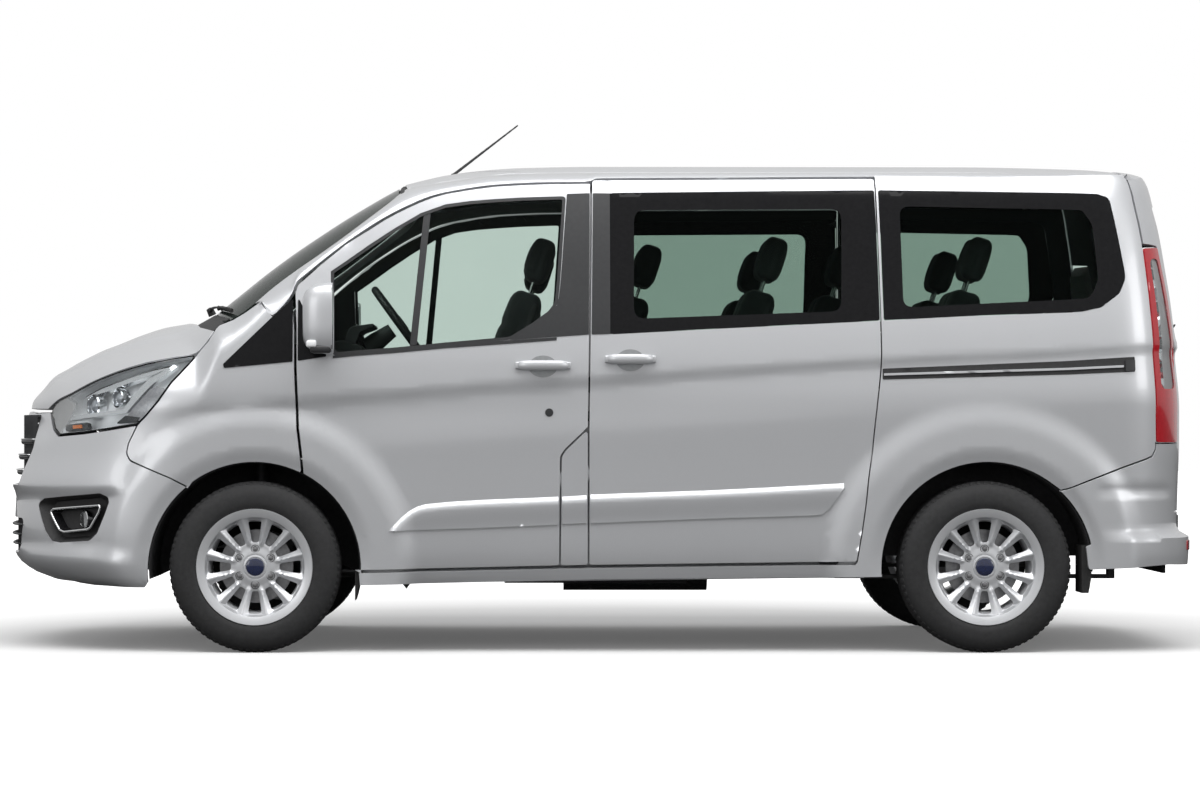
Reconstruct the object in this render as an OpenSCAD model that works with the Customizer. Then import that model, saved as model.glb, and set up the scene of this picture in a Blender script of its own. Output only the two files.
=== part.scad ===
// Passenger minibus: body shell, doors, lids, seats, running gear and wheels as separate pieces.
// X points forwards, Y to the vehicle's left, Z up. The origin is on the ground under the middle.

/* [Overall] */
// Distance between the front and rear axles
wheel_base = 2933; // [2440:1:3520]
// Front axle to the front of the bumper
front_overhang = 1088; // [1000:1:1310]
// Rear axle to the back of the bumper
rear_overhang = 889; // [860:1:1070]
// Width of the body over its widest panels
body_w = 1986; // [1950:1:2390]
// Height of the roof at its middle
body_h = 2000; // [1900:1:2400]
// Height of the window line at the middle pillar
belt_z = 1268; // [1200:1:1330]
// Height of the lower edge of the doors
door_low_z = 340; // [300:1:400]
// Height of the cabin floor
floor_z = 440; // [410:1:520]

/* [Walls] */
// Thickness of the doors and the side walls
side_t = 70; // [55:1:90]
// Thickness of the roof
roof_t = 40; // [25:1:60]
// Thickness of the floor
floor_t = 60; // [40:1:110]
// Thickness of the tailgate
tailgate_t = 60; // [45:1:90]
// Thickness of the bonnet
bonnet_t = 24; // [15:1:40]
// Thickness of the outer wing panels
wing_t = 40; // [25:1:60]
// Thickness of the bumper skins
bumper_t = 45; // [30:1:60]
// Thickness of the window glass
glass_t = 6; // [4:1:9]
// Gap between neighbouring panels
shut_gap = 8; // [7:0.5:12]

/* [Wheels] */
// Distance between the middles of the left and right wheels
track = 1736; // [1700:1:1760]
// Outside diameter of the tyres
tyre_d = 688; // [600:1:720]
// Width of the tyres
tyre_w = 215; // [185:1:235]
// Diameter of the rims at the tyre seat
rim_d = 406; // [380:1:432]
// Number of spokes in each rim
spoke_count = 12; // [5:1:16]
// Radius of the wheel arches
arch_r = 425; // [415:1:450]
// Radius of the stub shafts that the wheels turn on
stub_r = 30; // [20:1:40]
// Clearance between a stub shaft and its wheel
stub_fit = 0.05; // [0.01:0.01:0.1]

/* [Interior] */
// Width of one front seat
seat_w = 470; // [400:1:560]
// Width of one rear seat
rear_seat_w = 440; // [400:1:500]
// Height of the seat cushion above the cabin floor
seat_h = 440; // [380:1:480]
// Diameter of the steering wheel
steering_d = 385; // [340:1:420]

/* [Mounts] */
// Radius of the towing eye's screwed hole
tow_eye_r = 9; // [6:0.5:12]
// Height of the towing eye's hole
tow_eye_z = 600; // [580:1:620]
// Radius of the tow bar's bolt holes
tow_bolt_r = 6.5; // [4:0.5:9]
// Distance across the tow bar's bolt holes
tow_bolt_y = 900; // [600:1:1100]
// Height between the tow bar's bolt holes
tow_bolt_z = 40; // [30:1:60]

/* [Hidden] */
$fn = 64;
body_l = front_overhang + wheel_base + rear_overhang;
nose_x = body_l / 2;
tail_x = -body_l / 2;
axle_f = nose_x - front_overhang;
axle_r = axle_f - wheel_base;
wheel_y = track / 2;
wheel_z = tyre_d / 2;
half_w = body_w / 2;

// Height of the bonnet's front lip and of its rear edge, and where that edge is
lip_z = 985;
cowl_z = 1330;
cowl_x = axle_f + 360;
// Foot and head of the windscreen on the centre line
screen_foot = [axle_f + 275, 1345];
screen_head = [axle_f - 555, body_h - 92];
// Rise of the screen's curve over its straight chord
screen_rise = 42;
// Vertical axis that the bonnet and the windscreen are bowed about
bow_x = axle_f - 1967;
// Outer edge of the roof panel
roof_half = half_w - 290;
// Width of the windscreen pillars
pillar_w = side_t + 4;
// Inset of a moving panel from the edge of its opening
edge_gap = shut_gap - 2;
// The nose is round in plan from here forwards, a superellipse with this exponent
nose_round_x = nose_x - 860;
nose_power = 2.35;

// Joints between the panels along the side
door_front_x = axle_f - 165;
door_split_x = axle_f - 1345;
slide_end_x = axle_r + 430;
door_top_z = body_h - 100;
flap_w = 115;
flap_top_z = 905;
hatch_x = tail_x + 300;
hatch_low_z = 560;
lamp_in_y = half_w - 215;

// Upright steering axis of each front wheel, and the radius of its ball studs
kingpin_y = wheel_y - 68;
ball_stud_r = 12;

// Seats: the middle ones at the back stand half a row ahead of the outer ones
seat_y = half_w - 530;
row_x = [axle_f - 1605, axle_r + 489];
rear_seat_y = wheel_y - 308;
middle_ahead = 495;

// Middle of the steering wheel and the tilt of its axis
steer_x = axle_f - 565;
steer_z = 1333;
steer_tilt = -54;

// Place of the tow eye's hole across the bumper, between the two grilles' corners
tow_eye_y = -half_w + 433;
// Height of the mat on the load floor behind the seats
mat_t = 10;
// Crossmember that the tow bar bolts to, behind the rear edge of the floor
crossmember_x = tail_x + 100;
crossmember_t = 12;
crossmember_z = floor_z - floor_t - 30;

// ---------- Drawing helpers ----------

// Side outline in X and Z, extruded across the vehicle between two Y positions
module side_cut(points, y0 = -1500, y1 = 1500)
    translate([0, y1, 0]) rotate([90, 0, 0]) linear_extrude(y1 - y0) polygon(points);

// Side outline grown or shrunk by a distance, with square corners
module side_cut_offset(points, grow, y0 = -1500, y1 = 1500)
    translate([0, y1, 0]) rotate([90, 0, 0]) linear_extrude(y1 - y0)
        offset(delta = grow) polygon(points);

// Side outline bowed about the vertical bow axis
module bowed(points)
    translate([bow_x, 0, 0]) rotate([0, 0, -60]) rotate_extrude(angle = 120, $fn = 360)
        translate([-bow_x, 0]) polygon(points);

// Box from its low corner to its high corner
module block(low, high) translate(low) cube(high - low);

// A pair of mirrored copies, left and right
module both_sides() {
    children();
    mirror([0, 1, 0]) children();
}

// Cylinder along Y
module y_cyl(x, z, r, y0, y1)
    translate([x, y1, z]) rotate([90, 0, 0]) cylinder(r = r, h = y1 - y0);

// ---------- Outer shape ----------

function bonnet_z(t) = lip_z + (cowl_z - lip_z) * (1 - pow(1 - t, 1.9));
function screen_z(t) = screen_foot[1] + (screen_head[1] - screen_foot[1]) * t
    + 4 * screen_rise * t * (1 - t);
function mix(a, b, t) = a + (b - a) * t;

bonnet_line = [for (i = [0 : 6]) [mix(nose_x - 60, cowl_x, i / 6), bonnet_z(i / 6)]];
screen_line = [for (i = [0 : 6]) [mix(screen_foot[0], screen_head[0], i / 6), screen_z(i / 6)]];
roof_line = [[axle_f - 640, body_h - 60], [axle_f - 800, body_h - 28],
    [axle_f - 1020, body_h - 7], [axle_f - 1370, body_h], [tail_x + 900, body_h - 2],
    [tail_x + 430, body_h - 14], [tail_x + 260, body_h - 34], [tail_x + 195, body_h - 60]];
tail_line = [[tail_x + 150, body_h - 120], [tail_x + 110, body_h - 260], [tail_x + 55, 1400],
    [tail_x + 25, 1000], [tail_x + 22, 600], [tail_x, 480], [tail_x, 390], [tail_x + 40, 340]];
nose_line = [[nose_x - 120, 250], [nose_x - 15, 330], [nose_x, 420], [nose_x, 640],
    [nose_x - 35, 830]];
side_outline = concat(nose_line, bonnet_line, screen_line, roof_line, tail_line,
    [[axle_r, 262]]);

// Half of the cross-section, from the sill to the middle of the roof
half_section = [[0, 200], [half_w - 90, 200], [half_w - 55, 262], [half_w - 30, 320],
    [half_w - 14, 440], [half_w - 5, 620], [half_w, 860], [half_w, 1000], [half_w - 8, 1110],
    [half_w - 21, 1220], [half_w - 38, 1350], [half_w - 68, 1550], [half_w - 100, body_h - 280],
    [half_w - 130, body_h - 165], [half_w - 155, body_h - 98], [half_w - 200, body_h - 56],
    [half_w - 290, body_h - 31], [half_w - 430, body_h - 16], [half_w - 690, body_h - 4],
    [0, body_h]];

// Half of the plan outline, from the middle of the tail to the middle of the nose
half_plan = concat([[tail_x, 0], [tail_x + 8, half_w - 490], [tail_x + 35, half_w - 210],
    [tail_x + 85, half_w - 110], [tail_x + 175, half_w - 50], [tail_x + 310, half_w - 18],
    [tail_x + 560, half_w]],
    [for (a = [0 : 7.5 : 90]) [
        nose_round_x + (nose_x - nose_round_x) * pow(sin(a), 2 / nose_power),
        half_w * pow(cos(a), 2 / nose_power)]]);

// Points of a half outline together with their mirror images
function both_halves(points, axis) = concat(points, [for (i = [len(points) - 2 : -1 : 1])
    axis == 0 ? [-points[i][0], points[i][1]] : [points[i][0], -points[i][1]]]);

// Cross-section moved inwards by a wall thickness, over the whole length
module section(inward = 0, down = 0)
    translate([tail_x - 50, 0, 0]) rotate([90, 0, 90]) linear_extrude(body_l + 100)
        polygon(both_halves([for (p = half_section) [max(p[0] - inward, 0), p[1] - down]], 0));

module plan(grow = 0)
    translate([0, 0, 100]) linear_extrude(body_h)
        offset(delta = grow) polygon(both_halves(half_plan, 1));

// Outer surface of the whole vehicle
module outer() intersection() {
    side_cut(side_outline);
    section();
    plan();
    union() {
        bowed(concat([[bow_x + 10, 200]], nose_line, bonnet_line, screen_line,
            [roof_line[0], roof_line[1], roof_line[2], [bow_x + 10, body_h + 10]]));
        block([tail_x - 10, -half_w, 150], [axle_f - 1200, half_w, body_h + 20]);
    }
}

// Hollow of the cabin, open at the windscreen and at the tailgate
module cabin() intersection() {
    section(side_t, roof_t);
    union() {
        side_cut([[tail_x - 100, floor_z], [door_front_x - 40, floor_z],
            [door_front_x - 40, 1090], [screen_foot[0] - 150, 1230],
            [screen_head[0], screen_head[1] - roof_t],
            [axle_f - 800, body_h - 28 - roof_t], [axle_f - 1300, body_h - roof_t],
            [tail_x + 900, body_h - roof_t], [tail_x + 430, body_h - 14 - roof_t],
            [tail_x - 100, body_h - 60 - roof_t]]);
        bowed([[screen_foot[0] - 150, 1230], [screen_foot[0] + 30, screen_foot[1] + 20],
            [screen_foot[0] + 200, screen_foot[1] + 100], [screen_head[0] + 200, body_h + 60],
            [screen_head[0] + 10, body_h - 80], [screen_head[0], screen_head[1] - roof_t]]);
    }
}

// Left wall of the vehicle between two depths below the outer surface
module side_wall(from = 0, to = side_t, from_down = 0, to_down = roof_t) difference() {
    intersection() {
        outer();
        section(from, from_down);
        block([tail_x, 0, 0], [nose_x, half_w + 10, body_h]);
    }
    section(to, to_down);
}

module arches(grow = 0, y0 = 560) both_sides() {
    $fn = 180;
    y_cyl(axle_f, wheel_z, arch_r + grow, y0, half_w + 20);
    y_cyl(axle_r, wheel_z, arch_r + grow, wheel_y - tyre_w / 2 - 60, half_w + 20);
}

// ---------- Panel outlines along the side ----------

front_door_top = [[door_front_x, belt_z + 175], [door_front_x + 2, belt_z + 212],
    [door_front_x - 45, belt_z + 253], [door_front_x - 145, belt_z + 340],
    [door_front_x - 245, body_h - 320], [door_front_x - 345, body_h - 256],
    [door_front_x - 445, body_h - 203], [door_front_x - 548, body_h - 160],
    [door_front_x - 700, body_h - 126], [door_front_x - 900, door_top_z - 6],
    [door_split_x - 3, door_top_z]];
front_door_right_outline = concat(front_door_top, [[door_split_x, belt_z],
    [door_split_x + 7, door_low_z], [door_front_x - 50, door_low_z],
    [door_front_x - 22, 800], [door_front_x - 10, 900], [door_front_x, belt_z - 128]]);
front_door_left_outline = concat(front_door_top, [[door_split_x, belt_z],
    [door_split_x + 5, flap_top_z], [door_split_x + 95, flap_top_z - 90],
    [door_split_x + flap_w, flap_top_z - 115], [door_split_x + flap_w + 5, door_low_z],
    [door_front_x - 50, door_low_z], [door_front_x - 22, 800], [door_front_x - 10, 900],
    [door_front_x, belt_z - 128]]);
fuel_flap_outline = [[door_split_x + 5, flap_top_z], [door_split_x + 95, flap_top_z - 90],
    [door_split_x + flap_w, flap_top_z - 115], [door_split_x + flap_w + 5, door_low_z],
    [door_split_x + 7, door_low_z]];
sliding_door_outline = [[door_split_x - 3, door_top_z], [door_split_x, belt_z],
    [door_split_x + 7, door_low_z], [slide_end_x + 88, door_low_z + 22],
    [slide_end_x + 52, 500], [slide_end_x + 26, 800], [slide_end_x - 2, 1070],
    [slide_end_x - 10, 1200], [slide_end_x, 1500], [slide_end_x + 15, door_top_z]];

front_window_outline = [[door_front_x - 150, belt_z - 68], [door_front_x - 140, belt_z + 225],
    [door_front_x - 195, belt_z + 305], [door_front_x - 295, body_h - 350],
    [door_front_x - 395, body_h - 285], [door_front_x - 500, body_h - 225],
    [door_front_x - 600, body_h - 195], [door_front_x - 700, body_h - 182],
    [door_front_x - 1000, body_h - 165], [door_split_x + 100, body_h - 175],
    [door_split_x + 120, 1500], [door_split_x + 140, belt_z + 120],
    [door_split_x + 330, belt_z - 15]];
sliding_window_outline = [[door_split_x - 90, belt_z + 45], [door_split_x - 90, body_h - 160],
    [slide_end_x + 80, body_h - 155], [slide_end_x + 70, belt_z + 75]];
quarter_window_outline = [[slide_end_x - 75, belt_z + 95], [slide_end_x - 55, body_h - 160],
    [tail_x + 480, body_h - 165], [tail_x + 425, body_h - 210], [tail_x + 400, 1500],
    [tail_x + 420, belt_z + 190], [tail_x + 500, belt_z + 125]];
rear_seam = [[tail_x + 590, 0], [tail_x + 590, 645], [tail_x + 240, 785], [tail_x + 205, 830],
    [tail_x - 50, 830], [tail_x - 50, 0]];
front_seam = [[nose_x + 50, 0], [axle_f + 200, 0], [axle_f + 250, 660], [axle_f + 430, 745],
    [axle_f + 495, 770], [axle_f + 510, 800], [axle_f + 465, 905], [nose_x - 400, 890],
    [nose_x - 260, 870], [nose_x - 60, lip_z - 22], [nose_x + 50, lip_z - 22]];
front_lamp_outline = [[nose_x - 60, lip_z - 22], [nose_x - 260, 870], [nose_x - 400, 890],
    [axle_f + 465, 905], [axle_f + 430, 950], [axle_f + 330, 1085], [axle_f + 235, 1200],
    [axle_f + 440, 1165], [axle_f + 635, 1100], [nose_x - 220, 990]];
bonnet_edge = [[nose_x + 50, lip_z - 22], [nose_x - 60, lip_z - 22], [nose_x - 220, 990],
    [axle_f + 635, 1100], [axle_f + 440, 1165], [axle_f + 235, 1200], [axle_f + 185, 1253],
    [axle_f + 150, 1312], [axle_f + 260, 1460], [nose_x + 50, 1460]];

tail_lamp_outline = [[hatch_x - 52, body_h - 358], [hatch_x - 80, 1400], [hatch_x - 95, 1250],
    [hatch_x - 102, 1100], [hatch_x - 102, 930], [tail_x - 10, 845],
    [tail_x - 10, body_h - 345], [hatch_x - 100, body_h - 345]];
track_outline = [[slide_end_x - 18, 1080], [slide_end_x - 18, 1140], [tail_x + 290, 1190],
    [tail_x + 290, 1125]];

// ---------- Body shell ----------

module floor_pan() color([0.2, 0.2, 0.21]) difference() {
    union() {
        intersection() {
            side_cut([[axle_f - 390, floor_z - floor_t], [crossmember_x, floor_z - floor_t],
                [crossmember_x, floor_z], [axle_f - 215, floor_z]],
                -half_w + 155, half_w - 155);
            plan(-bumper_t - shut_gap);
        }
        block([crossmember_x + crossmember_t, -rear_seat_y - 120, floor_z - 1],
            [axle_r + 190, rear_seat_y + 120, floor_z + mat_t]);
        // bulkhead behind the engine
        block([axle_f - 225, -half_w + 200, floor_z - 20], [axle_f - 195, half_w - 200, 1085]);
        // housings over the rear wheels
        intersection() {
            both_sides() y_cyl(axle_r, wheel_z, arch_r + 12, wheel_y - tyre_w / 2 - 72, half_w);
            section(side_t + 2, roof_t);
        }
        block([crossmember_x, -600, crossmember_z - 45],
            [crossmember_x + crossmember_t, 600, floor_z - 1]);
    }
    arches();
    block([axle_r - 600, -half_w, -200], [axle_r + 600, half_w, floor_z - floor_t]);
    for (y = [-1, 1], z = [-1, 1])
        translate([crossmember_x - 10, y * tow_bolt_y / 2, crossmember_z + z * tow_bolt_z / 2])
            rotate([0, 90, 0]) cylinder(r = tow_bolt_r, h = crossmember_t + 20);
}

module roof_panel() color([0.75, 0.76, 0.78]) difference() {
    intersection() {
        outer();
        block([tail_x, -roof_half, body_h - 260], [axle_f, roof_half, body_h + 10]);
    }
    cabin();
    side_cut(hatch_flank);
}

// Everything of the left side that doesn't open: pillars, rail, quarter panel and sill
module body_side(door_outline) {
    difference() {
        intersection() {
            side_wall();
            block([tail_x - 10, 0, 0], [axle_f + 300, half_w + 10, body_h]);
        }
        // the roof panel, wing, tailgate and rear bumper meet the side along these lines
        block([tail_x, -roof_half, body_h - 300], [axle_f, roof_half, body_h + 10]);
        side_cut(wing_edge);
        side_cut(hatch_flank);
        hatch_opening(0);
        side_cut(rear_seam);
        side_cut(tail_lamp_outline);
        side_cut(door_outline);
        side_cut(sliding_door_outline);
        side_cut(quarter_window_outline);
        arches(0, wheel_y - 240);
        track_recess();
    }
    inner_posts();
}

// Pillar and sill inboard of the doors, which the doors close against
module inner_posts() {
    intersection() {
        side_wall(side_t + shut_gap, side_t + shut_gap + 45, roof_t, roof_t);
        union() {
            side_cut([[door_split_x - 55, door_low_z - 20], [door_split_x + 75, door_low_z - 20],
                [door_split_x + 70, body_h - 110], [door_split_x - 60, body_h - 110]]);
            side_cut([[slide_end_x + 110, door_low_z - 20], [axle_f - 450, door_low_z - 20],
                [axle_f - 450, floor_z], [slide_end_x + 110, floor_z]]);
        }
    }
    // flange under the doors that joins the sill's inner and outer walls
    intersection() {
        side_wall(side_t - 5, side_t + shut_gap + 45, 0, roof_t);
        side_cut([[slide_end_x + 110, door_low_z - 45], [axle_f - 450, door_low_z - 45],
            [axle_f - 450, door_low_z - shut_gap], [slide_end_x + 110, door_low_z - shut_gap]]);
    }
}

wing_edge = [[axle_f + 400, 0], [axle_f - 400, 0], [axle_f - 205, 700],
    [door_front_x - 12, 900], [door_front_x, 1160], [door_front_x, belt_z + 172],
    [axle_f - 72, belt_z + 82], [axle_f - 27, belt_z + 140], [axle_f + 20, belt_z + 250],
    [axle_f + 400, 1700]];
hatch_edge = [[hatch_x + 22, body_h + 10], [hatch_x + 8, body_h - 92],
    [hatch_x - 40, body_h - 270], [hatch_x - 55, body_h - 355]];
hatch_flank = concat(hatch_edge, [[tail_x - 60, body_h - 355], [tail_x - 60, body_h + 10]]);
hatch_side = concat(hatch_edge, [[hatch_x - 55, 0], [tail_x - 60, 0], [tail_x - 60, body_h + 10]]);

// Opening for the tailgate, seen from behind
module hatch_opening(grow)
    translate([tail_x - 60, 0, 0]) rotate([90, 0, 90]) linear_extrude(460)
        offset(delta = grow) polygon([[-lamp_in_y, hatch_low_z], [lamp_in_y, hatch_low_z],
            [lamp_in_y, body_h - 340], [half_w, body_h - 340], [half_w, body_h + 20],
            [-half_w, body_h + 20], [-half_w, body_h - 340], [-lamp_in_y, body_h - 340]]);

module body_side_left() color([0.75, 0.76, 0.78]) difference() {
    body_side(front_door_left_outline);
    // pocket behind the fuel flap
    side_cut_offset(fuel_flap_outline, 1, half_w - 60, half_w + 20);
}
module body_side_right() color([0.75, 0.76, 0.78])
    mirror([0, 1, 0]) body_side(front_door_right_outline);

// Outer panels, inner aprons with damper mounts, and the panel that carries the lamps
module front_wings() color([0.75, 0.76, 0.78]) difference() {
    union() {
        both_sides() intersection() {
            side_wall(0, wing_t);
            side_cut(concat(wing_edge, [[axle_f + 700, 1200], [axle_f + 700, 0]]));
        }
        both_sides() {
            block([door_front_x - 5, half_w - 470, 505], [nose_x - 330, half_w - 440, 960]);
            block([axle_f - 60, half_w - 445, 860], [axle_f + 60, half_w - 300, 900]);
            block([door_front_x - 5, half_w - 470, 900], [door_front_x + 25, half_w - 38, 960]);
        }
        block([nose_x - 360, -half_w + 200, 640], [nose_x - 330, half_w - 200, 940]);
    }
    arches();
    side_cut(front_seam);
    side_cut_offset(bonnet_edge, shut_gap);
    side_cut(front_lamp_outline, half_w - 440, half_w + 20);
    side_cut(front_lamp_outline, -half_w - 20, -half_w + 440);
    door_sweep();
    mirror([0, 1, 0]) door_sweep();
}

// Space that the front edge of a door swings through
module door_sweep() {
    side_cut([[door_front_x + shut_gap, 0], [door_front_x - 500, 0],
        [door_front_x - 500, body_h], [door_front_x + shut_gap, body_h]],
        half_w - 120, half_w - wing_t - 1);
    side_cut_offset(front_door_right_outline, shut_gap, half_w - 120, half_w + 20);
}

module bumper_skin() difference() {
    outer();
    intersection() {
        translate([0, 0, -5]) plan(-bumper_t);
        block([-body_l, -half_w, 312], [body_l, half_w, 1400]);
    }
}

module front_bumper() color([0.75, 0.76, 0.78]) difference() {
    union() {
        intersection() {
            bumper_skin();
            side_cut(front_seam);
        }
        // socket behind the tow eye's hole
        translate([nose_x - 160, tow_eye_y, tow_eye_z]) rotate([0, 90, 0])
            cylinder(r = tow_eye_r + 15, h = 38);
    }
    arches();
    side_cut_offset(bonnet_edge, shut_gap);
    side_cut(front_lamp_outline, half_w - 440, half_w + 20);
    side_cut(front_lamp_outline, -half_w - 20, -half_w + 440);
    grille_opening(0);
    translate([nose_x - 260, tow_eye_y, tow_eye_z]) rotate([0, 90, 0])
        cylinder(r = tow_eye_r, h = 300);
}

module grille_opening(grow)
    translate([nose_x - 220, 0, 0]) rotate([90, 0, 90]) linear_extrude(300) offset(delta = grow) {
        polygon([[-500, lip_z - 42], [500, lip_z - 42], [470, 680], [-470, 680]]);
        polygon([[-560, 540], [560, 540], [500, 400], [-500, 400]]);
    }

module grille() color([0.1, 0.1, 0.11]) intersection() {
    difference() {
        outer();
        translate([-60, 0, 0]) outer();
    }
    union() {
        for (i = [0 : 3])
            block([nose_x - 200, -470 - i * 7, 705 + i * 65], [nose_x + 20, 470 + i * 7, 740 + i * 65]);
        for (y = [-300, 0, 300])
            block([nose_x - 200, y - 8, 680], [nose_x + 20, y + 8, lip_z - 45]);
        for (i = [0 : 1])
            block([nose_x - 200, -500, 435 + i * 50], [nose_x + 20, 500, 450 + i * 50]);
        for (y = [-300, 0, 300])
            block([nose_x - 200, y - 8, 400], [nose_x + 20, y + 8, 540]);
    }
}

module front_lamps() color([0.9, 0.92, 0.95]) {
    both_sides() difference() {
        intersection() {
            outer();
            side_cut_offset(front_lamp_outline, -3, half_w - 435, half_w + 20);
        }
        side_cut_offset(bonnet_edge, shut_gap);
        translate([-75, -90, 0]) plan();
        arches();
    }
}

module rear_bumper() color([0.75, 0.76, 0.78]) difference() {
    intersection() {
        bumper_skin();
        side_cut(rear_seam);
    }
    hatch_opening(0);
    block([tail_x + 10, -half_w - 10, 785], [tail_x + 230, half_w + 10, 900]);
    arches();
    side_cut([[tail_x - 50, 200], [tail_x + 600, 200], [tail_x + 600, 318], [tail_x - 50, 345]]);
}

module tail_lamps() color([0.75, 0.05, 0.05]) both_sides() difference() {
    intersection() {
        outer();
        side_cut_offset(tail_lamp_outline, -1, lamp_in_y + 2, half_w + 20);
    }
    translate([110, -80, 0]) plan();
}

// ---------- Glass ----------

module windscreen() color([0.5, 0.65, 0.6, 0.5]) intersection() {
    difference() {
        outer();
        translate([-glass_t / sin(34), 0, 0]) outer();
    }
    section(pillar_w, roof_t + 2);
    bowed([[screen_foot[0] - 2, screen_foot[1] - 60], [screen_foot[0] - 2, body_h + 50],
        [screen_head[0] + 8, body_h + 50], [screen_head[0] + 8, screen_head[1] - 30]]);
}

module pane(points) intersection() {
    side_wall(8, 8 + glass_t, 0, 0);
    side_cut_offset(points, -1);
}

module side_windows() color([0.2, 0.27, 0.25, 0.6]) both_sides() {
    pane(sliding_window_outline);
    pane(quarter_window_outline);
}

module front_window_left() color([0.5, 0.65, 0.6, 0.5]) pane(front_window_outline);
module front_window_right() color([0.5, 0.65, 0.6, 0.5])
    mirror([0, 1, 0]) pane(front_window_outline);

module rear_window() color([0.2, 0.27, 0.25, 0.6]) intersection() {
    difference() {
        translate([8, 0, 0]) outer();
        translate([8 + glass_t, 0, 0]) outer();
    }
    rear_window_opening(-1);
}

module rear_window_opening(grow)
    translate([tail_x - 60, 0, 0]) rotate([90, 0, 90]) linear_extrude(400)
        offset(delta = grow) polygon([[-half_w + 280, belt_z + 20], [half_w - 280, belt_z + 20],
            [half_w - 300, body_h - 190], [-half_w + 300, body_h - 190]]);

// ---------- Doors and lids ----------

module front_door(outline) difference() {
    intersection() {
        side_wall();
        side_cut_offset(outline, -edge_gap);
    }
    side_cut(front_window_outline);
    arches();
    mirror_arm();
}

module front_door_left() color([0.75, 0.76, 0.78]) front_door(front_door_left_outline);
module front_door_right() color([0.75, 0.76, 0.78])
    mirror([0, 1, 0]) front_door(front_door_right_outline);

module sliding_door() difference() {
    intersection() {
        side_wall();
        side_cut_offset(sliding_door_outline, -edge_gap);
    }
    side_cut(sliding_window_outline);
    arches();
}

module sliding_door_left() color([0.75, 0.76, 0.78]) sliding_door();
module sliding_door_right() color([0.75, 0.76, 0.78]) mirror([0, 1, 0]) sliding_door();

module mirror_arm_and_shell() {
    translate([door_front_x - 90, half_w + 62, belt_z + 70]) difference() {
        intersection() {
            block([-75, -50, -145], [50, 80, 145]);
            translate([-120, 15, 0]) rotate([0, 90, 0]) cylinder(r = 155, h = 300);
        }
        block([-80, -38, -125], [-60, 68, 125]);
    }
    mirror_arm();
}

// Arm that is let into the corner of the door
module mirror_arm()
    block([door_front_x - 90, half_w - 62, belt_z - 10], [door_front_x - 45, half_w + 20, belt_z + 65]);

module mirror_left() color([0.75, 0.76, 0.78]) mirror_arm_and_shell();
module mirror_right() color([0.75, 0.76, 0.78]) mirror([0, 1, 0]) mirror_arm_and_shell();

module bonnet() color([0.75, 0.76, 0.78]) intersection() {
    difference() {
        outer();
        translate([-bonnet_t / 2, 0, -bonnet_t]) outer();
    }
    side_cut(bonnet_edge);
    block([axle_f, -half_w + 30, 0], [nose_x, half_w - 30, 1500]);
    bowed([[axle_f, 800], [nose_x, 800], [nose_x, 1500], [cowl_x - 20, 1500], [cowl_x - 20, 800]]);
}

module tailgate() color([0.75, 0.76, 0.78]) difference() {
    intersection() {
        outer();
        hatch_opening(-edge_gap);
        side_cut_offset(hatch_side, -edge_gap);
    }
    // the shell is hollow towards the cabin
    intersection() {
        translate([tailgate_t, 0, 0]) outer();
        section(side_t, roof_t);
    }
    rear_window_opening(0);
}

module fuel_flap() color([0.75, 0.76, 0.78]) intersection() {
    side_wall(0, 18);
    side_cut_offset(fuel_flap_outline, -edge_gap);
}

// ---------- Interior ----------

module dashboard() color([0.12, 0.13, 0.13]) {
    side_cut([[axle_f + 110, 1215], [axle_f - 150, 1245], [axle_f - 350, 1262],
        [axle_f - 430, 1240], [axle_f - 460, 1180], [axle_f - 420, 1000], [axle_f - 330, 760],
        [axle_f - 226, 700], [axle_f - 226, 1090]], -half_w + 165, half_w - 165);
    // steering column and the hood over the dials
    translate([steer_x + 20, seat_y, steer_z - 14]) rotate([0, steer_tilt, 0])
        translate([0, 0, -260]) cylinder(r = 32, h = 230);
    side_cut([[axle_f - 340, 1240], [axle_f - 360, 1330], [axle_f - 470, 1335],
        [axle_f - 440, 1220]], seat_y - 190, seat_y + 190);
}

// One seat: cushion, pedestal, reclined back and head restraint
module seat(x, y, width) translate([x, y, floor_z]) {
    block([-235, -width / 2, seat_h - 130], [255, width / 2, seat_h]);
    block([-195, -width / 2 + 95, 0], [205, width / 2 - 95, seat_h - 130]);
    translate([-255, 0, seat_h - 20]) rotate([0, -18, 0]) {
        block([-60, -width / 2, 0], [60, width / 2, 640]);
        block([-43, -125, 680], [43, 125, 860]);
        block([-10, -70, 620], [10, 70, 700]);
    }
}

module front_seats() color([0.16, 0.17, 0.17]) both_sides()
    seat(axle_f - 653, seat_y, seat_w);

module rear_seats() color([0.16, 0.17, 0.17]) for (row = [0, 1]) {
    both_sides() seat(row_x[row], rear_seat_y, rear_seat_w);
    seat(row_x[row] + middle_ahead, 0, rear_seat_w);
}

module steering_wheel() color([0.08, 0.08, 0.08])
    translate([steer_x, seat_y, steer_z]) rotate([0, steer_tilt, 0]) {
        rotate_extrude() translate([steering_d / 2 - 16, 0]) circle(r = 16);
        cylinder(r = 62, h = 30, center = true);
        for (a = [90, 210, 330]) rotate([0, 0, a])
            translate([0, -14, -8]) cube([steering_d / 2 - 20, 28, 16]);
    }

// ---------- Running gear ----------

module engine() color([0.45, 0.46, 0.47])
    block([axle_f - 90, -300, 400], [axle_f + 560, 350, 900]);

// Distance of the arms below and above the wheel's axis, to their faces next to the knuckle
arm_reach = 116;
arm_t = 28;

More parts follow.
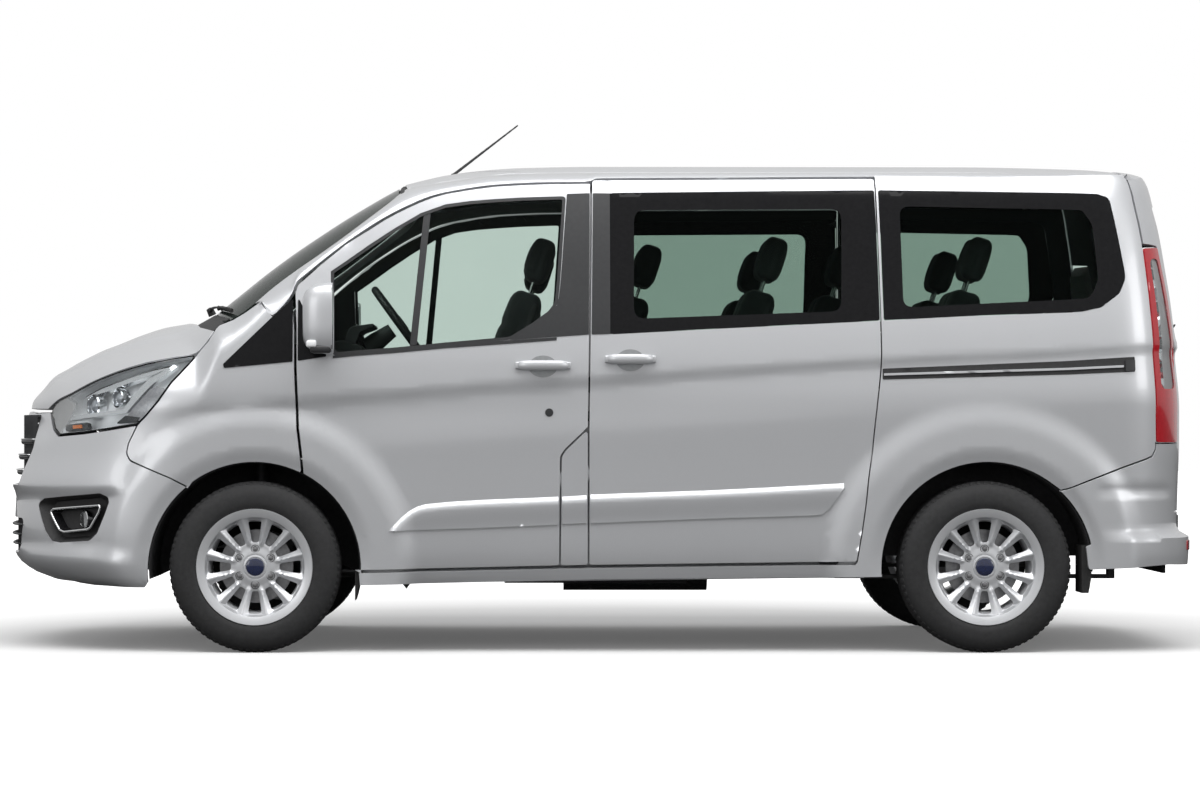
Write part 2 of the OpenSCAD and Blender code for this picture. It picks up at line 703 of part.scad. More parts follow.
// Upright with its stub shaft, and a ball stud at each end of the steering axis
module knuckle() {
    block([axle_f - 35, kingpin_y - 50, wheel_z - 110], [axle_f + 35, kingpin_y, wheel_z + 110]);
    y_cyl(axle_f, wheel_z, stub_r, kingpin_y - 2, wheel_y + 40);
    translate([axle_f, kingpin_y, wheel_z - arm_reach - arm_t])
        cylinder(r = ball_stud_r, h = 2 * (arm_reach + arm_t));
}

module knuckle_left() color([0.35, 0.35, 0.36]) knuckle();
module knuckle_right() color([0.35, 0.35, 0.36]) mirror([0, 1, 0]) knuckle();

module front_subframe() color([0.2, 0.2, 0.21]) {
    block([axle_f - 200, -430, wheel_z - arm_reach - arm_t], [axle_f + 180, 430, 300]);
    both_sides() {
        difference() {
            for (side = [-1, 1])
                translate([axle_f - 30, 420, wheel_z + side * (arm_reach + arm_t / 2) - arm_t / 2])
                    cube([60, kingpin_y - 400, arm_t]);
            translate([axle_f, kingpin_y, 0]) cylinder(r = ball_stud_r + stub_fit, h = 2 * wheel_z);
        }
        translate([axle_f, 600, wheel_z - arm_reach - 2]) cylinder(r = 28, h = 976 - wheel_z);
    }
}

module rear_axle() color([0.2, 0.2, 0.21]) {
    y_cyl(axle_r, wheel_z, stub_r, -wheel_y - 40, wheel_y + 40);
    // leaf springs, their saddles on the beam and their shackles under the floor
    both_sides() {
        block([axle_r - 560, 560, wheel_z - 60], [axle_r + 560, 625, wheel_z - 44]);
        block([axle_r - 40, 560, wheel_z - 46], [axle_r + 40, 625, wheel_z]);
        for (end = [axle_r - 575, axle_r + 550])
            block([end, 560, wheel_z - 60], [end + 25, 625, floor_z - floor_t]);
    }
}

module exhaust() color([0.4, 0.4, 0.41]) {
    translate([axle_f - 201, -150, 285]) rotate([0, -90, 0]) cylinder(r = 28, h = 1050);
    translate([axle_f - 1250, -150, 285]) rotate([0, -90, 0]) cylinder(r = 85, h = 620);
}

module fuel_tank() color([0.1, 0.1, 0.1])
    block([axle_f - 1750, 80, 265], [axle_f - 1000, 620, floor_z - floor_t]);

// Flaps that hang against the rear edge of each wheel arch
module mud_flaps() color([0.06, 0.06, 0.06]) intersection() {
    both_sides() {
        block([axle_f - arch_r - 5, half_w - 190, 180], [axle_f - arch_r + 22, half_w - 30, 330]);
        block([axle_r - arch_r - 5, half_w - 190, 240], [axle_r - arch_r + 40, half_w - 30, 430]);
    }
    arches();
}

// Shallow recess along the quarter panel that the door track lies in
module track_recess() difference() {
    side_cut(track_outline, half_w - 200, half_w + 10);
    section(8, 0);
}

module door_tracks() color([0.06, 0.06, 0.06]) both_sides() intersection() {
    translate([0, 2, 0]) outer();
    track_recess();
}

// Position of a point on the bowed nose or windscreen at a distance from the centre line
function bow(x, y) = bow_x + sqrt(pow(x - bow_x, 2) - y * y);

// Place of a wiper over the glass, at a distance from the centre line and a share of its length
function wiper_point(y, share) =
    [bow(screen_foot[0] + 12 - 38 * share, y), y, screen_foot[1] + 16 + 32 * share];

// Scuttle panel between the bonnet and the windscreen, with the two wipers that park over it
module cowl() color([0.05, 0.05, 0.05]) {
    intersection() {
        difference() {
            outer();
            translate([-20, 0, -25]) outer();
        }
        bowed([[screen_foot[0] + 1, 1100], [cowl_x - 20 - shut_gap, 1100],
            [cowl_x - 20 - shut_gap, 1500], [screen_foot[0] + 1, 1500]]);
        section(pillar_w, roof_t);
        block([axle_f + 172, -half_w, 1100], [nose_x, half_w, 1500]);
    }
    for (start = [-640, 120], i = [0 : 2])
        hull() for (share = [i / 3, (i + 1) / 3])
            translate(wiper_point(start + 620 * share, share)) sphere(r = 8, $fn = 12);
}

module antenna() color([0.05, 0.05, 0.05]) {
    translate([axle_f - 761, 0, body_h - 28]) cylinder(r = 20, h = 22);
    hull() {
        translate([axle_f - 761, 0, body_h]) sphere(r = 6, $fn = 12);
        translate([axle_f - 1053, 0, body_h + 204]) sphere(r = 3, $fn = 12);
    }
}

// ---------- Wheels ----------

// A wheel's own frame has its axis along Z, with the outer face upwards
module at_wheel(x, side) translate([x, side * wheel_y, wheel_z]) rotate([-90 * side, 0, 0]) children();

tyre_outline = [[rim_d / 2, -tyre_w / 2 + 16], [rim_d / 2 + 14, -tyre_w / 2 + 6],
    [rim_d / 2 + 60, -tyre_w / 2], [tyre_d / 2 - 30, -tyre_w / 2 + 6],
    [tyre_d / 2 - 10, -tyre_w / 2 + 16], [tyre_d / 2, -tyre_w / 2 + 36],
    [tyre_d / 2, tyre_w / 2 - 36], [tyre_d / 2 - 10, tyre_w / 2 - 16],
    [tyre_d / 2 - 30, tyre_w / 2 - 6], [rim_d / 2 + 60, tyre_w / 2],
    [rim_d / 2 + 14, tyre_w / 2 - 6], [rim_d / 2, tyre_w / 2 - 16],
    [rim_d / 2, tyre_w / 2 - 30], [rim_d / 2 + 14, tyre_w / 2 - 34],
    [rim_d / 2 + 14, -tyre_w / 2 + 34], [rim_d / 2, -tyre_w / 2 + 30]];
module tyre(x, side) color([0.07, 0.07, 0.07]) at_wheel(x, side)
    rotate_extrude() polygon(tyre_outline);

module rim(x, side) color([0.8, 0.81, 0.82]) at_wheel(x, side) {
    rotate_extrude() polygon([[rim_d / 2 - 0.3, -tyre_w / 2 + 12], [rim_d / 2 - 0.3, tyre_w / 2 - 12],
        [rim_d / 2 - 12, tyre_w / 2 - 12], [rim_d / 2 - 12, -tyre_w / 2 + 12]]);
    difference() {
        union() {
            translate([0, 0, 5]) cylinder(r = 75, h = 60);
            for (i = [0 : spoke_count - 1]) rotate([0, 0, (i + 0.5) * 360 / spoke_count])
                translate([60, -11, 42]) cube([rim_d / 2 - 64, 22, 26]);
        }
        translate([0, 0, 4]) cylinder(r = stub_r + stub_fit, h = 41);
    }
    // brake disc behind the spokes
    difference() {
        translate([0, 0, -30]) cylinder(r = 150, h = 24);
        translate([0, 0, -31]) cylinder(r = stub_r + stub_fit, h = 26);
    }
    difference() {
        translate([0, 0, -7]) cylinder(r = 60, h = 13);
        translate([0, 0, -8]) cylinder(r = stub_r + stub_fit, h = 15);
    }
}

module tyre_front_left() tyre(axle_f, 1);
module tyre_front_right() tyre(axle_f, -1);
module tyre_rear_left() tyre(axle_r, 1);
module tyre_rear_right() tyre(axle_r, -1);
module rim_front_left() rim(axle_f, 1);
module rim_front_right() rim(axle_f, -1);
module rim_rear_left() rim(axle_r, 1);
module rim_rear_right() rim(axle_r, -1);

floor_pan();
roof_panel();
body_side_left();
body_side_right();
front_wings();
front_bumper();
rear_bumper();
grille();
front_lamps();
tail_lamps();
windscreen();
side_windows();
dashboard();
front_seats();
rear_seats();
engine();
front_subframe();
rear_axle();
exhaust();
fuel_tank();
mud_flaps();
sliding_door_left();
sliding_door_right();
door_tracks();
cowl();
antenna();
front_door_left();
front_window_left();
mirror_left();
front_door_right();
front_window_right();
mirror_right();
tailgate();
rear_window();
bonnet();
fuel_flap();
steering_wheel();
knuckle_left();
knuckle_right();
tyre_front_left();
tyre_front_right();
tyre_rear_left();
tyre_rear_right();
rim_front_left();
rim_front_right();
rim_rear_left();
rim_rear_right();
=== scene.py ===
# %% [markdown]
# # A silver minibus: finish, glass, lamps, trim and seats around a fixed frame
# The frame brings every construction piece and moving body at its real place. This lesson adds what
# the eye judges: thin shaped panels with even gaps, tinted glass, lamps with depth, wheels and seats.
# Lengths are metres, X points forwards, Y to the vehicle's left and Z up.

# %% Load the frame
import math

import bmesh
import bpy
import numpy as np
from mathutils import Matrix, Vector
from mathutils.geometry import delaunay_2d_cdt


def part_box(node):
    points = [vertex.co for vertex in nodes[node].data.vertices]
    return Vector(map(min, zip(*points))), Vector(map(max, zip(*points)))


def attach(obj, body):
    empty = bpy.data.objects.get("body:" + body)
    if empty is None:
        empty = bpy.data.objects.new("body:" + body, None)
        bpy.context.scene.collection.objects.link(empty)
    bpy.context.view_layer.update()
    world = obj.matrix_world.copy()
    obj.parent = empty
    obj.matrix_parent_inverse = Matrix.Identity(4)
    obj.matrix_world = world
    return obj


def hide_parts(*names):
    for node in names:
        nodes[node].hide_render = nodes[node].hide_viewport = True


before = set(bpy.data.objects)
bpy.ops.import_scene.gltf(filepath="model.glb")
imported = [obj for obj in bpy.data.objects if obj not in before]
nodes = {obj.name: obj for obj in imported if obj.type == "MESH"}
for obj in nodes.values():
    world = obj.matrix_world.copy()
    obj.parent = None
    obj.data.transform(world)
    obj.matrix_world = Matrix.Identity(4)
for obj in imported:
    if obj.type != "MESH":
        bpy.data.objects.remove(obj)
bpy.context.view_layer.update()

# %% [markdown]
# ## Landmarks taken from the frame
# Wheel centres, the axle line and the tyre's size are read from the frame's own boxes, so that every
# outline below can be placed from them and the finish stays on the construction.

# %% Landmarks
def middle(node):
    low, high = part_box(node)
    return (Vector(low) + Vector(high)) / 2


FRONT_AXLE = middle("tyre_front_left").x
REAR_AXLE = middle("tyre_rear_left").x
WHEEL_Y = middle("tyre_front_left").y
WHEEL_Z = middle("tyre_front_left").z
TYRE_R = (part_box("tyre_front_left")[1][2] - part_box("tyre_front_left")[0][2]) / 2
TYRE_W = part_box("tyre_front_left")[1][1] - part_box("tyre_front_left")[0][1]
print("axles", round(FRONT_AXLE, 3), round(REAR_AXLE, 3), "tyre radius", round(TYRE_R, 3))

# %% [markdown]
# ## Camera, floor and light
# A long lens from the side at about waist height shows the vehicle almost without perspective. The world
# reads as white to the camera and in reflections, and the floor reads as white to the camera, while the
# lamps stay moderate, so that the silver paint keeps its own tone. Near the vehicle the floor's white lift
# is weaker: a painted shade that deepens the vehicle's shadow. To all other rays the floor is dark, so the
# lower body gets little light from below.

# %% Camera
def add_camera():
    data = bpy.data.cameras.new("camera")
    data.lens = 101.07
    data.sensor_width = 36
    data.shift_x = 70 / 1200
    data.shift_y = 31 / 1200
    data.clip_end = 200
    camera = bpy.data.objects.new("camera", data)
    camera.location = (0.262, 14.475, 0.89)
    camera.rotation_euler = (math.radians(90), 0, math.radians(180))
    bpy.context.collection.objects.link(camera)
    bpy.context.scene.camera = camera


add_camera()


# %% Node helpers
class Nodes:
    """A small writer for node trees: makes nodes, sets their sockets and links them."""

    def __init__(self, tree):
        self.tree = tree
        tree.nodes.clear()

    def add(self, kind, inputs=None, **settings):
        node = self.tree.nodes.new(kind)
        for key, value in settings.items():
            setattr(node, key, value)
        for key, value in (inputs or {}).items():
            if isinstance(value, bpy.types.NodeSocket):
                self.tree.links.new(value, node.inputs[key])
            else:
                node.inputs[key].default_value = value
        return node

    def math(self, operation, a, b=0.5, clamp=False):
        node = self.add("ShaderNodeMath", {0: a, 1: b}, operation=operation, use_clamp=clamp)
        return node.outputs[0]

    def mix(self, factor, a, b):
        node = self.add("ShaderNodeMix", {0: factor, 6: a, 7: b}, data_type="RGBA")
        return node.outputs[2]


def rgb(r, g, b):
    return (r, g, b, 1)


def new_material(name):
    material = bpy.data.materials.new(name)
    material.use_nodes = True
    return material, Nodes(material.node_tree)


# %% Floor, world and lamps
def add_stage():
    mesh = bpy.data.meshes.new("floor")
    mesh.from_pydata([(-60, -60, 0), (60, -60, 0), (60, 60, 0), (-60, 60, 0)], [], [(0, 1, 2, 3)])
    floor = bpy.data.objects.new("floor", mesh)
    bpy.context.collection.objects.link(floor)
    material, n = new_material("pale_floor")
    # To the camera the floor is pale grey plus a white lift; to all other rays it is dark grey. The lift is
    # weak near the vehicle and full far off: a painted shade around the vehicle that deepens its shadow.
    seen = n.add("ShaderNodeLightPath").outputs["Is Camera Ray"]
    tone = n.mix(seen, rgb(0.11, 0.11, 0.11), rgb(0.8, 0.8, 0.8))
    plain = n.add("ShaderNodeBsdfDiffuse", {"Color": tone})
    place = n.add("ShaderNodeTexCoord").outputs["Object"]
    away = n.add("ShaderNodeVectorMath", {0: place}, operation="LENGTH").outputs["Value"]
    far = n.add("ShaderNodeMapRange", {"Value": away, "From Min": 2.4, "From Max": 6.0, "To Min": 0.1,
        "To Max": 0.9}).outputs[0]
    lift = n.add("ShaderNodeEmission", {"Color": rgb(1, 1, 1), "Strength": n.math("MULTIPLY", seen, far)})
    both = n.add("ShaderNodeAddShader", {0: plain.outputs[0], 1: lift.outputs[0]})
    n.add("ShaderNodeOutputMaterial", {"Surface": both.outputs[0]})
    mesh.materials.append(material)

    world = bpy.data.worlds.new("world")
    world.use_nodes = True
    bpy.context.scene.world = world
    n = Nodes(world.node_tree)
    path = n.add("ShaderNodeLightPath")
    white = n.math("MAXIMUM", path.outputs["Is Camera Ray"], path.outputs["Is Transmission Ray"])
    strength = n.add("ShaderNodeMapRange", {"Value": white, "To Min": 0.6, "To Max": 1.0})
    sky = n.add("ShaderNodeBackground", {"Color": rgb(1, 1, 1), "Strength": strength.outputs[0]})
    n.add("ShaderNodeOutputWorld", {"Surface": sky.outputs[0]})


def add_lamp(name, place, target, size, power):
    data = bpy.data.lights.new(name, "AREA")
    data.shape = "RECTANGLE"
    data.size, data.size_y = size
    data.energy = power
    lamp = bpy.data.objects.new(name, data)
    lamp.location = place
    lamp.rotation_euler = (Vector(target) - Vector(place)).to_track_quat("-Z", "Y").to_euler()
    bpy.context.collection.objects.link(lamp)


add_stage()
add_lamp("top_lamp", (0, 3.8, 6.8), (0, 0.5, 0.6), (11, 5), 545)
add_lamp("front_lamp", (8.0, 8.5, 3.2), (0.5, 0, 0.8), (4, 3), 75)
add_lamp("rear_lamp", (-9.0, 6.5, 3.6), (-0.5, 0, 0.8), (3, 3), 90)
bpy.context.scene.view_settings.view_transform = "Standard"


# %% [markdown]
# ## Shared surface effects
# Most finishes here need the same two things: a fine irregular grain, and a broad soft variation of
# tone. Each is a node group that puts out a value, so the shader itself stays in the material.

# %% Grain group
def grain_group():
    tree = bpy.data.node_groups.new("grain", "ShaderNodeTree")
    tree.interface.new_socket("Scale", in_out="INPUT", socket_type="NodeSocketFloat")
    tree.interface.new_socket("Contrast", in_out="INPUT", socket_type="NodeSocketFloat")
    tree.interface.new_socket("Value", in_out="OUTPUT", socket_type="NodeSocketFloat")
    n = Nodes(tree)
    given = n.add("NodeGroupInput")
    place = n.add("ShaderNodeTexCoord").outputs["Object"]
    noise = n.add("ShaderNodeTexNoise", {"Vector": place, "Scale": given.outputs["Scale"], "Detail": 3})
    centred = n.math("SUBTRACT", noise.outputs["Fac"], 0.5)
    scaled = n.math("MULTIPLY", centred, given.outputs["Contrast"])
    n.add("NodeGroupOutput", {"Value": n.math("ADD", scaled, 0.5, clamp=True)})
    return tree


GRAIN = grain_group()


def grain(n, scale, contrast=1.0):
    """The grain group in a material, with its own scale and contrast."""
    node = n.add("ShaderNodeGroup", node_tree=GRAIN)
    node.inputs["Scale"].default_value = scale
    node.inputs["Contrast"].default_value = contrast
    return node.outputs["Value"]


# %% Material maker
def finish(name, dark, light, roughness, scale=60, rough_spread=0.08, bump=0.0, bump_scale=400,
        **sockets):
    """A plain finish: its colour runs between two tones, with grain in roughness and relief."""
    material, n = new_material(name)
    tone = grain(n, scale, 1.6)
    color = n.mix(tone, rgb(*dark), rgb(*light))
    low = n.math("MULTIPLY", grain(n, scale * 2.3, 1.4), rough_spread)
    rough = n.math("ADD", low, roughness - rough_spread / 2, clamp=True)
    shader = n.add("ShaderNodeBsdfPrincipled", {"Base Color": color, "Roughness": rough})
    if bump:
        relief = n.add("ShaderNodeBump", {"Height": grain(n, bump_scale, 1.5), "Strength": bump,
            "Distance": 0.001})
        n.tree.links.new(relief.outputs[0], shader.inputs["Normal"])
    for key, value in sockets.items():
        shader.inputs[key.replace("_", " ")].default_value = value
    n.add("ShaderNodeOutputMaterial", {"Surface": shader.outputs[0]})
    return material


def glass(name, color, clear_through, ior=1.5):
    """Tinted glass: it refracts nothing (thin panes), reflects by Fresnel and tints what is behind."""
    material, n = new_material(name)
    tone = grain(n, 3, 0.5)
    tint = n.mix(tone, rgb(*[c * 0.96 for c in color]), rgb(*color))
    through = n.add("ShaderNodeBsdfTransparent", {"Color": tint})
    gloss = n.add("ShaderNodeBsdfPrincipled", {"Base Color": rgb(*clear_through), "Roughness": 0.03,
        "Specular IOR Level": 0.5})
    fresnel = n.add("ShaderNodeFresnel", {"IOR": ior}).outputs[0]
    shader = n.add("ShaderNodeMixShader", {0: fresnel, 1: through.outputs[0], 2: gloss.outputs[0]})
    n.add("ShaderNodeOutputMaterial", {"Surface": shader.outputs[0]})
    return material


def paint_material():
    """Silver metallic paint: aluminium flakes under a clear coat."""
    material, n = new_material("silver_paint")
    place = n.add("ShaderNodeTexCoord").outputs["Object"]
    flakes = n.add("ShaderNodeTexVoronoi", {"Vector": place, "Scale": 900})
    sparkle = n.math("MULTIPLY", flakes.outputs["Distance"], 0.5, clamp=True)
    color = n.mix(sparkle, rgb(0.6, 0.61, 0.63), rgb(0.7, 0.71, 0.73))
    rough = n.math("ADD", n.math("MULTIPLY", grain(n, 5, 1.0), 0.06), 0.33)
    shader = n.add("ShaderNodeBsdfPrincipled", {"Base Color": color, "Roughness": rough, "Metallic": 0.55,
        "Coat Weight": 0.8, "Coat Roughness": 0.05, "Coat IOR": 1.45})
    n.add("ShaderNodeOutputMaterial", {"Surface": shader.outputs[0]})
    return material


# %% The finishes of this vehicle
PAINT = paint_material()
UNDERSEAL = finish("underseal", (0.022, 0.022, 0.024), (0.04, 0.04, 0.042), 0.85, bump=0.5)
GLOSS_BLACK = finish("gloss_black", (0.008, 0.008, 0.009), (0.012, 0.012, 0.013), 0.1,
    Specular_IOR_Level=0.15)
SATIN_BLACK = finish("satin_black", (0.026, 0.027, 0.029), (0.034, 0.035, 0.037), 0.42, bump=0.1)
MATT_BLACK = finish("matt_black", (0.02, 0.02, 0.021), (0.03, 0.03, 0.031), 0.65, bump=0.35)
RUBBER = finish("rubber", (0.012, 0.012, 0.012), (0.022, 0.022, 0.022), 0.8, bump=0.3)
TYRE = finish("tyre_rubber", (0.016, 0.016, 0.017), (0.028, 0.028, 0.029), 0.72, bump=0.4)
ALLOY = finish("silver_lacquer", (0.62, 0.63, 0.65), (0.72, 0.73, 0.75), 0.34, scale=8, rough_spread=0.02,
    Metallic=0.5, Coat_Weight=0.4)
DARK_METAL = finish("dark_metal", (0.05, 0.05, 0.052), (0.09, 0.09, 0.092), 0.55, Metallic=0.6, bump=0.2)
CAST = finish("cast_metal", (0.2, 0.2, 0.205), (0.32, 0.32, 0.325), 0.6, Metallic=0.7, bump=0.4,
    bump_scale=250)
STEEL = finish("disc_steel", (0.28, 0.28, 0.29), (0.42, 0.42, 0.43), 0.3, Metallic=0.9, scale=90)
CHROME = finish("chrome", (0.78, 0.79, 0.8), (0.86, 0.87, 0.88), 0.08, Metallic=1.0, rough_spread=0.03)
CABIN = finish("cabin_trim", (0.03, 0.032, 0.034), (0.045, 0.047, 0.05), 0.6, bump=0.3)
CABIN_PALE = finish("pale_lining", (0.42, 0.43, 0.42), (0.5, 0.51, 0.5), 0.85, bump=0.3)
CLOTH = finish("seat_cloth", (0.022, 0.025, 0.027), (0.05, 0.056, 0.06), 0.9, scale=500, bump=0.7,
    bump_scale=900, Sheen_Weight=0.3)
CLEAR_GLASS = glass("clear_glass", (0.875, 0.923, 0.9), (0.05, 0.06, 0.055))
DARK_GLASS = glass("dark_glass", (0.682, 0.757, 0.719), (0.02, 0.025, 0.023))
LENS = glass("lamp_lens", (0.97, 0.98, 0.985), (0.5, 0.5, 0.5), ior=1.16)
RED_LENS = finish("red_lens", (0.42, 0.004, 0.012), (0.52, 0.01, 0.02), 0.12, Coat_Weight=1.0)
ORANGE_LENS = finish("orange_lens", (0.7, 0.16, 0.02), (0.8, 0.22, 0.03), 0.2, Coat_Weight=0.8)
BLUE_CAP = finish("dark_blue", (0.008, 0.014, 0.05), (0.012, 0.02, 0.07), 0.2, Coat_Weight=1.0)
PLATE_WHITE = finish("plate_white", (0.7, 0.7, 0.68), (0.78, 0.78, 0.76), 0.4, bump=0.1)
print("materials", len(bpy.data.materials))

# %% [markdown]
# ## Lines, outlines and panels
# A car body is drawn with a few smooth curves. `smooth_line` passes a cubic through given points without
# overshoot. An outline is a closed run of points, each with an optional fillet radius.
# A panel fills such an outline with a fine triangle net, lays it on a curved surface and gives it a
# real thickness, so that its edges and gaps are solid.

# %% Smooth lines
def smooth_line(points):
    """A function of u whose curve passes smoothly through the points (u, v)."""
    u, v = np.array(points, float).T
    step = np.diff(u)
    slope = np.diff(v) / step
    turn = slope[:-1] * slope[1:]
    total = np.where(turn > 0, slope[:-1] + slope[1:], 1)
    inner = np.where(turn > 0, 2 * turn / total, 0)
    tangent = np.concatenate([slope[:1], inner, slope[-1:]])

    def at(x):
        x = np.clip(x, u[0], u[-1])
        i = np.clip(np.searchsorted(u, x, side="right") - 1, 0, len(step) - 1)
        t = (x - u[i]) / step[i]
        return ((2 * t**3 - 3 * t**2 + 1) * v[i] + (t**3 - 2 * t**2 + t) * step[i] * tangent[i] +
            (3 * t**2 - 2 * t**3) * v[i + 1] + (t**3 - t**2) * step[i] * tangent[i + 1])

    return at


def ease(x):
    """0 below 0, 1 above 1, and smooth between."""
    t = np.clip(x, 0, 1)
    return t * t * (3 - 2 * t)


# %% Outlines
def rounded(points, segments=6):
    """The closed outline with a fillet at each corner that gives a third number, its radius."""
    result = []
    count = len(points)
    for i, corner in enumerate(points):
        here = Vector(corner[:2])
        radius = corner[2] if len(corner) > 2 else 0
        to_last = (Vector(points[i - 1][:2]) - here)
        to_next = (Vector(points[(i + 1) % count][:2]) - here)
        if radius <= 0 or to_last.length < 1e-6 or to_next.length < 1e-6:
            result.append(tuple(here))
            continue
        half = to_last.angle(to_next) / 2
        reach = min(radius / math.tan(half), 0.49 * to_last.length, 0.49 * to_next.length)
        start = here + to_last.normalized() * reach
        end = here + to_next.normalized() * reach
        for k in range(segments + 1):
            t = k / segments
            result.append(tuple(start * (1 - t) ** 2 + here * 2 * t * (1 - t) + end * t * t))
    return result


def resample(points, step):
    """The closed outline with extra points, so that no side is longer than the step."""
    result = []
    for i, here in enumerate(points):
        there = points[(i + 1) % len(points)]
        length = math.dist(here, there)
        if length < 1e-5:
            continue
        count = max(1, math.ceil(length / step))
        for k in range(count):
            t = k / count
            result.append((here[0] + (there[0] - here[0]) * t, here[1] + (there[1] - here[1]) * t))
    return result


def inside(loops, x, y):
    """Which of the points (x, y) lie inside the loops, counted even-odd."""
    hit = np.zeros(len(x), bool)
    for loop in loops:
        x0, y0 = np.array(loop).T
        x1, y1 = np.roll(x0, -1), np.roll(y0, -1)
        for a, b, c, d in zip(x0, y0, x1, y1):
            if b != d:
                crosses = ((b > y) != (d > y)) & (x < (c - a) * (y - b) / (d - b) + a)
                hit ^= crosses
    return hit


def distance_to(loops, x, y):
    """Distance from each point to the nearest loop point."""
    every = np.concatenate([np.array(loop) for loop in loops])
    best = np.full(len(x), 9.0)
    for px, py in every:
        best = np.minimum(best, (x - px) ** 2 + (y - py) ** 2)
    return np.sqrt(best)


def net(loops, step, lines=()):
    """Points and triangles that fill the loops, with rows of points along the feature lines."""
    x0, y0 = np.min([np.min(loop, axis=0) for loop in loops], axis=0)
    x1, y1 = np.max([np.max(loop, axis=0) for loop in loops], axis=0)
    gx, gy = np.meshgrid(np.arange(x0, x1 + step, step), np.arange(y0, y1 + step, step * 0.866))
    gx = gx + (np.arange(gx.shape[0]) % 2)[:, None] * step / 2
    gx, gy = gx.ravel(), gy.ravel()
    keep = inside(loops, gx, gy) & (distance_to(loops, gx, gy) > step * 0.55)
    gx, gy = gx[keep], gy[keep]
    extra = [p for line in lines for p in line]
    if extra:
        ex, ey = np.array(extra).T
        good = inside(loops, ex, ey) & (distance_to(loops, ex, ey) > step * 0.3)
        ex, ey = ex[good], ey[good]
        if len(ex):
            far = distance_to([list(zip(ex, ey))], gx, gy) > step * 0.5
            gx, gy = np.concatenate([gx[far], ex]), np.concatenate([gy[far], ey])
    points, edges = [], []
    for loop in loops:
        start = len(points)
        points += [Vector(p) for p in loop]
        edges += [(start + i, start + (i + 1) % len(loop)) for i in range(len(loop))]
    points += [Vector(p) for p in zip(gx, gy)]
    verts, _, faces, *_ = delaunay_2d_cdt(points, edges, [], 0, 1e-6)
    verts = np.array([tuple(v) for v in verts])
    faces = np.array(faces)
    centre = verts[faces].mean(axis=1)
    faces = faces[inside(loops, centre[:, 0], centre[:, 1])]
    return verts, faces


# %% Objects from meshes
def make_object(name, verts, faces, material, body, slot):
    """A piece whose place is in its mesh, riding on a body, with its finish and slot."""
    mesh = bpy.data.meshes.new(name)
    mesh.from_pydata([tuple(map(float, v)) for v in verts], [], [tuple(map(int, f)) for f in faces])
    return adopt(name, mesh, material, body, slot)


PIECES = []


def adopt(name, mesh, materials, body, slot):
    obj = bpy.data.objects.new(name, mesh)
    bpy.context.collection.objects.link(obj)
    for material in materials if isinstance(materials, (list, tuple)) else [materials]:
        mesh.materials.append(material)
    mesh.shade_smooth()
    PIECES.append((obj, body, slot))
    return obj


def add_modifier(obj, kind, **settings):
    modifier = obj.modifiers.new(kind.lower(), kind)
    for key, value in settings.items():
        setattr(modifier, key, value)
    return modifier


def bake(obj):
    """The object's modifiers become part of its mesh."""
    graph = bpy.context.evaluated_depsgraph_get()
    mesh = bpy.data.meshes.new_from_object(obj.evaluated_get(graph))
    obj.modifiers.clear()
    obj.data = mesh
    return obj


def thicken(obj, thickness, bevel=0.002, inner=None):
    """Gives a sheet its thickness inwards, a rounded edge and, if asked, a lined inner face."""
    solid = add_modifier(obj, "SOLIDIFY", thickness=thickness, offset=-1, use_even_offset=False)
    if inner:
        obj.data.materials.append(inner)
        solid.material_offset = len(obj.data.materials) - 1
    if bevel:
        add_modifier(obj, "BEVEL", width=bevel, segments=2, limit_method="ANGLE",
            angle_limit=math.radians(50), harden_normals=True)
    bake(obj)
    if not bevel:
        obj.data.set_sharp_from_angle(angle=math.radians(50))
    return obj


def mirrored(obj, name, body=None, slot=None):
    """A copy of a left piece for the right side, with its faces turned outwards again."""
    mesh = obj.data.copy()
    mesh.transform(Matrix.Scale(-1, 4, (0, 1, 0)))
    mesh.flip_normals()
    copy = bpy.data.objects.new(name, mesh)
    bpy.context.collection.objects.link(copy)
    old_body, old_slot = next((b, s) for o, b, s in PIECES if o == obj)
    PIECES.append((copy, body or old_body, slot or old_slot))
    return copy


print("helpers ready")

# %% [markdown]
# ## The body's surface
# Seen from above, the sides run straight and close into a round nose and a squarer tail. Both ends
# are superellipses: the exponent says how square the corner is. Seen from the front, one smooth line
# gives the half width at each height. A point on the body is found from `w`, the distance along the
# side (x along the straight part, then the turning angle round the ends), and its height z.

# %% Half width, nose and tail lines
half_width = smooth_line([(0.2, 0.9), (0.25, 0.925), (0.3, 0.95), (0.4, 0.965), (0.55, 0.97),
    (0.75, 0.974), (0.95, 0.98), (1.05, 0.983), (1.15, 0.98), (1.25, 0.972), (1.35, 0.96), (1.5, 0.936),
    (1.65, 0.909), (1.8, 0.876), (1.88, 0.853), (1.93, 0.825), (1.96, 0.78), (1.985, 0.7)])
nose_line = smooth_line([(0.24, 2.1), (0.27, 2.23), (0.28, 2.29), (0.3, 2.34), (0.325, 2.39),
    (0.355, 2.43), (0.4, 2.45), (0.5, 2.455), (0.6, 2.453), (0.725, 2.447), (0.84, 2.436), (0.906, 2.42),
    (0.95, 2.405), (0.981, 2.393), (1.06, 2.34), (1.2, 2.13), (1.35, 1.9)])
nose_power = smooth_line([(0.3, 2.5), (0.45, 2.5), (0.65, 2.35), (0.95, 2.0), (1.4, 2.0)])
tail_line = smooth_line([(0.25, -2.44), (0.4, -2.455), (0.465, -2.455), (0.49, -2.42), (0.7, -2.425),
    (0.84, -2.43), (0.951, -2.43), (1.204, -2.418), (1.407, -2.4), (1.56, -2.378), (1.715, -2.352),
    (1.796, -2.332), (1.89, -2.31), (1.93, -2.29), (1.957, -2.255), (1.975, -2.19), (1.985, -2.12)])
NOSE_START = 1.595
TAIL_START = -1.9
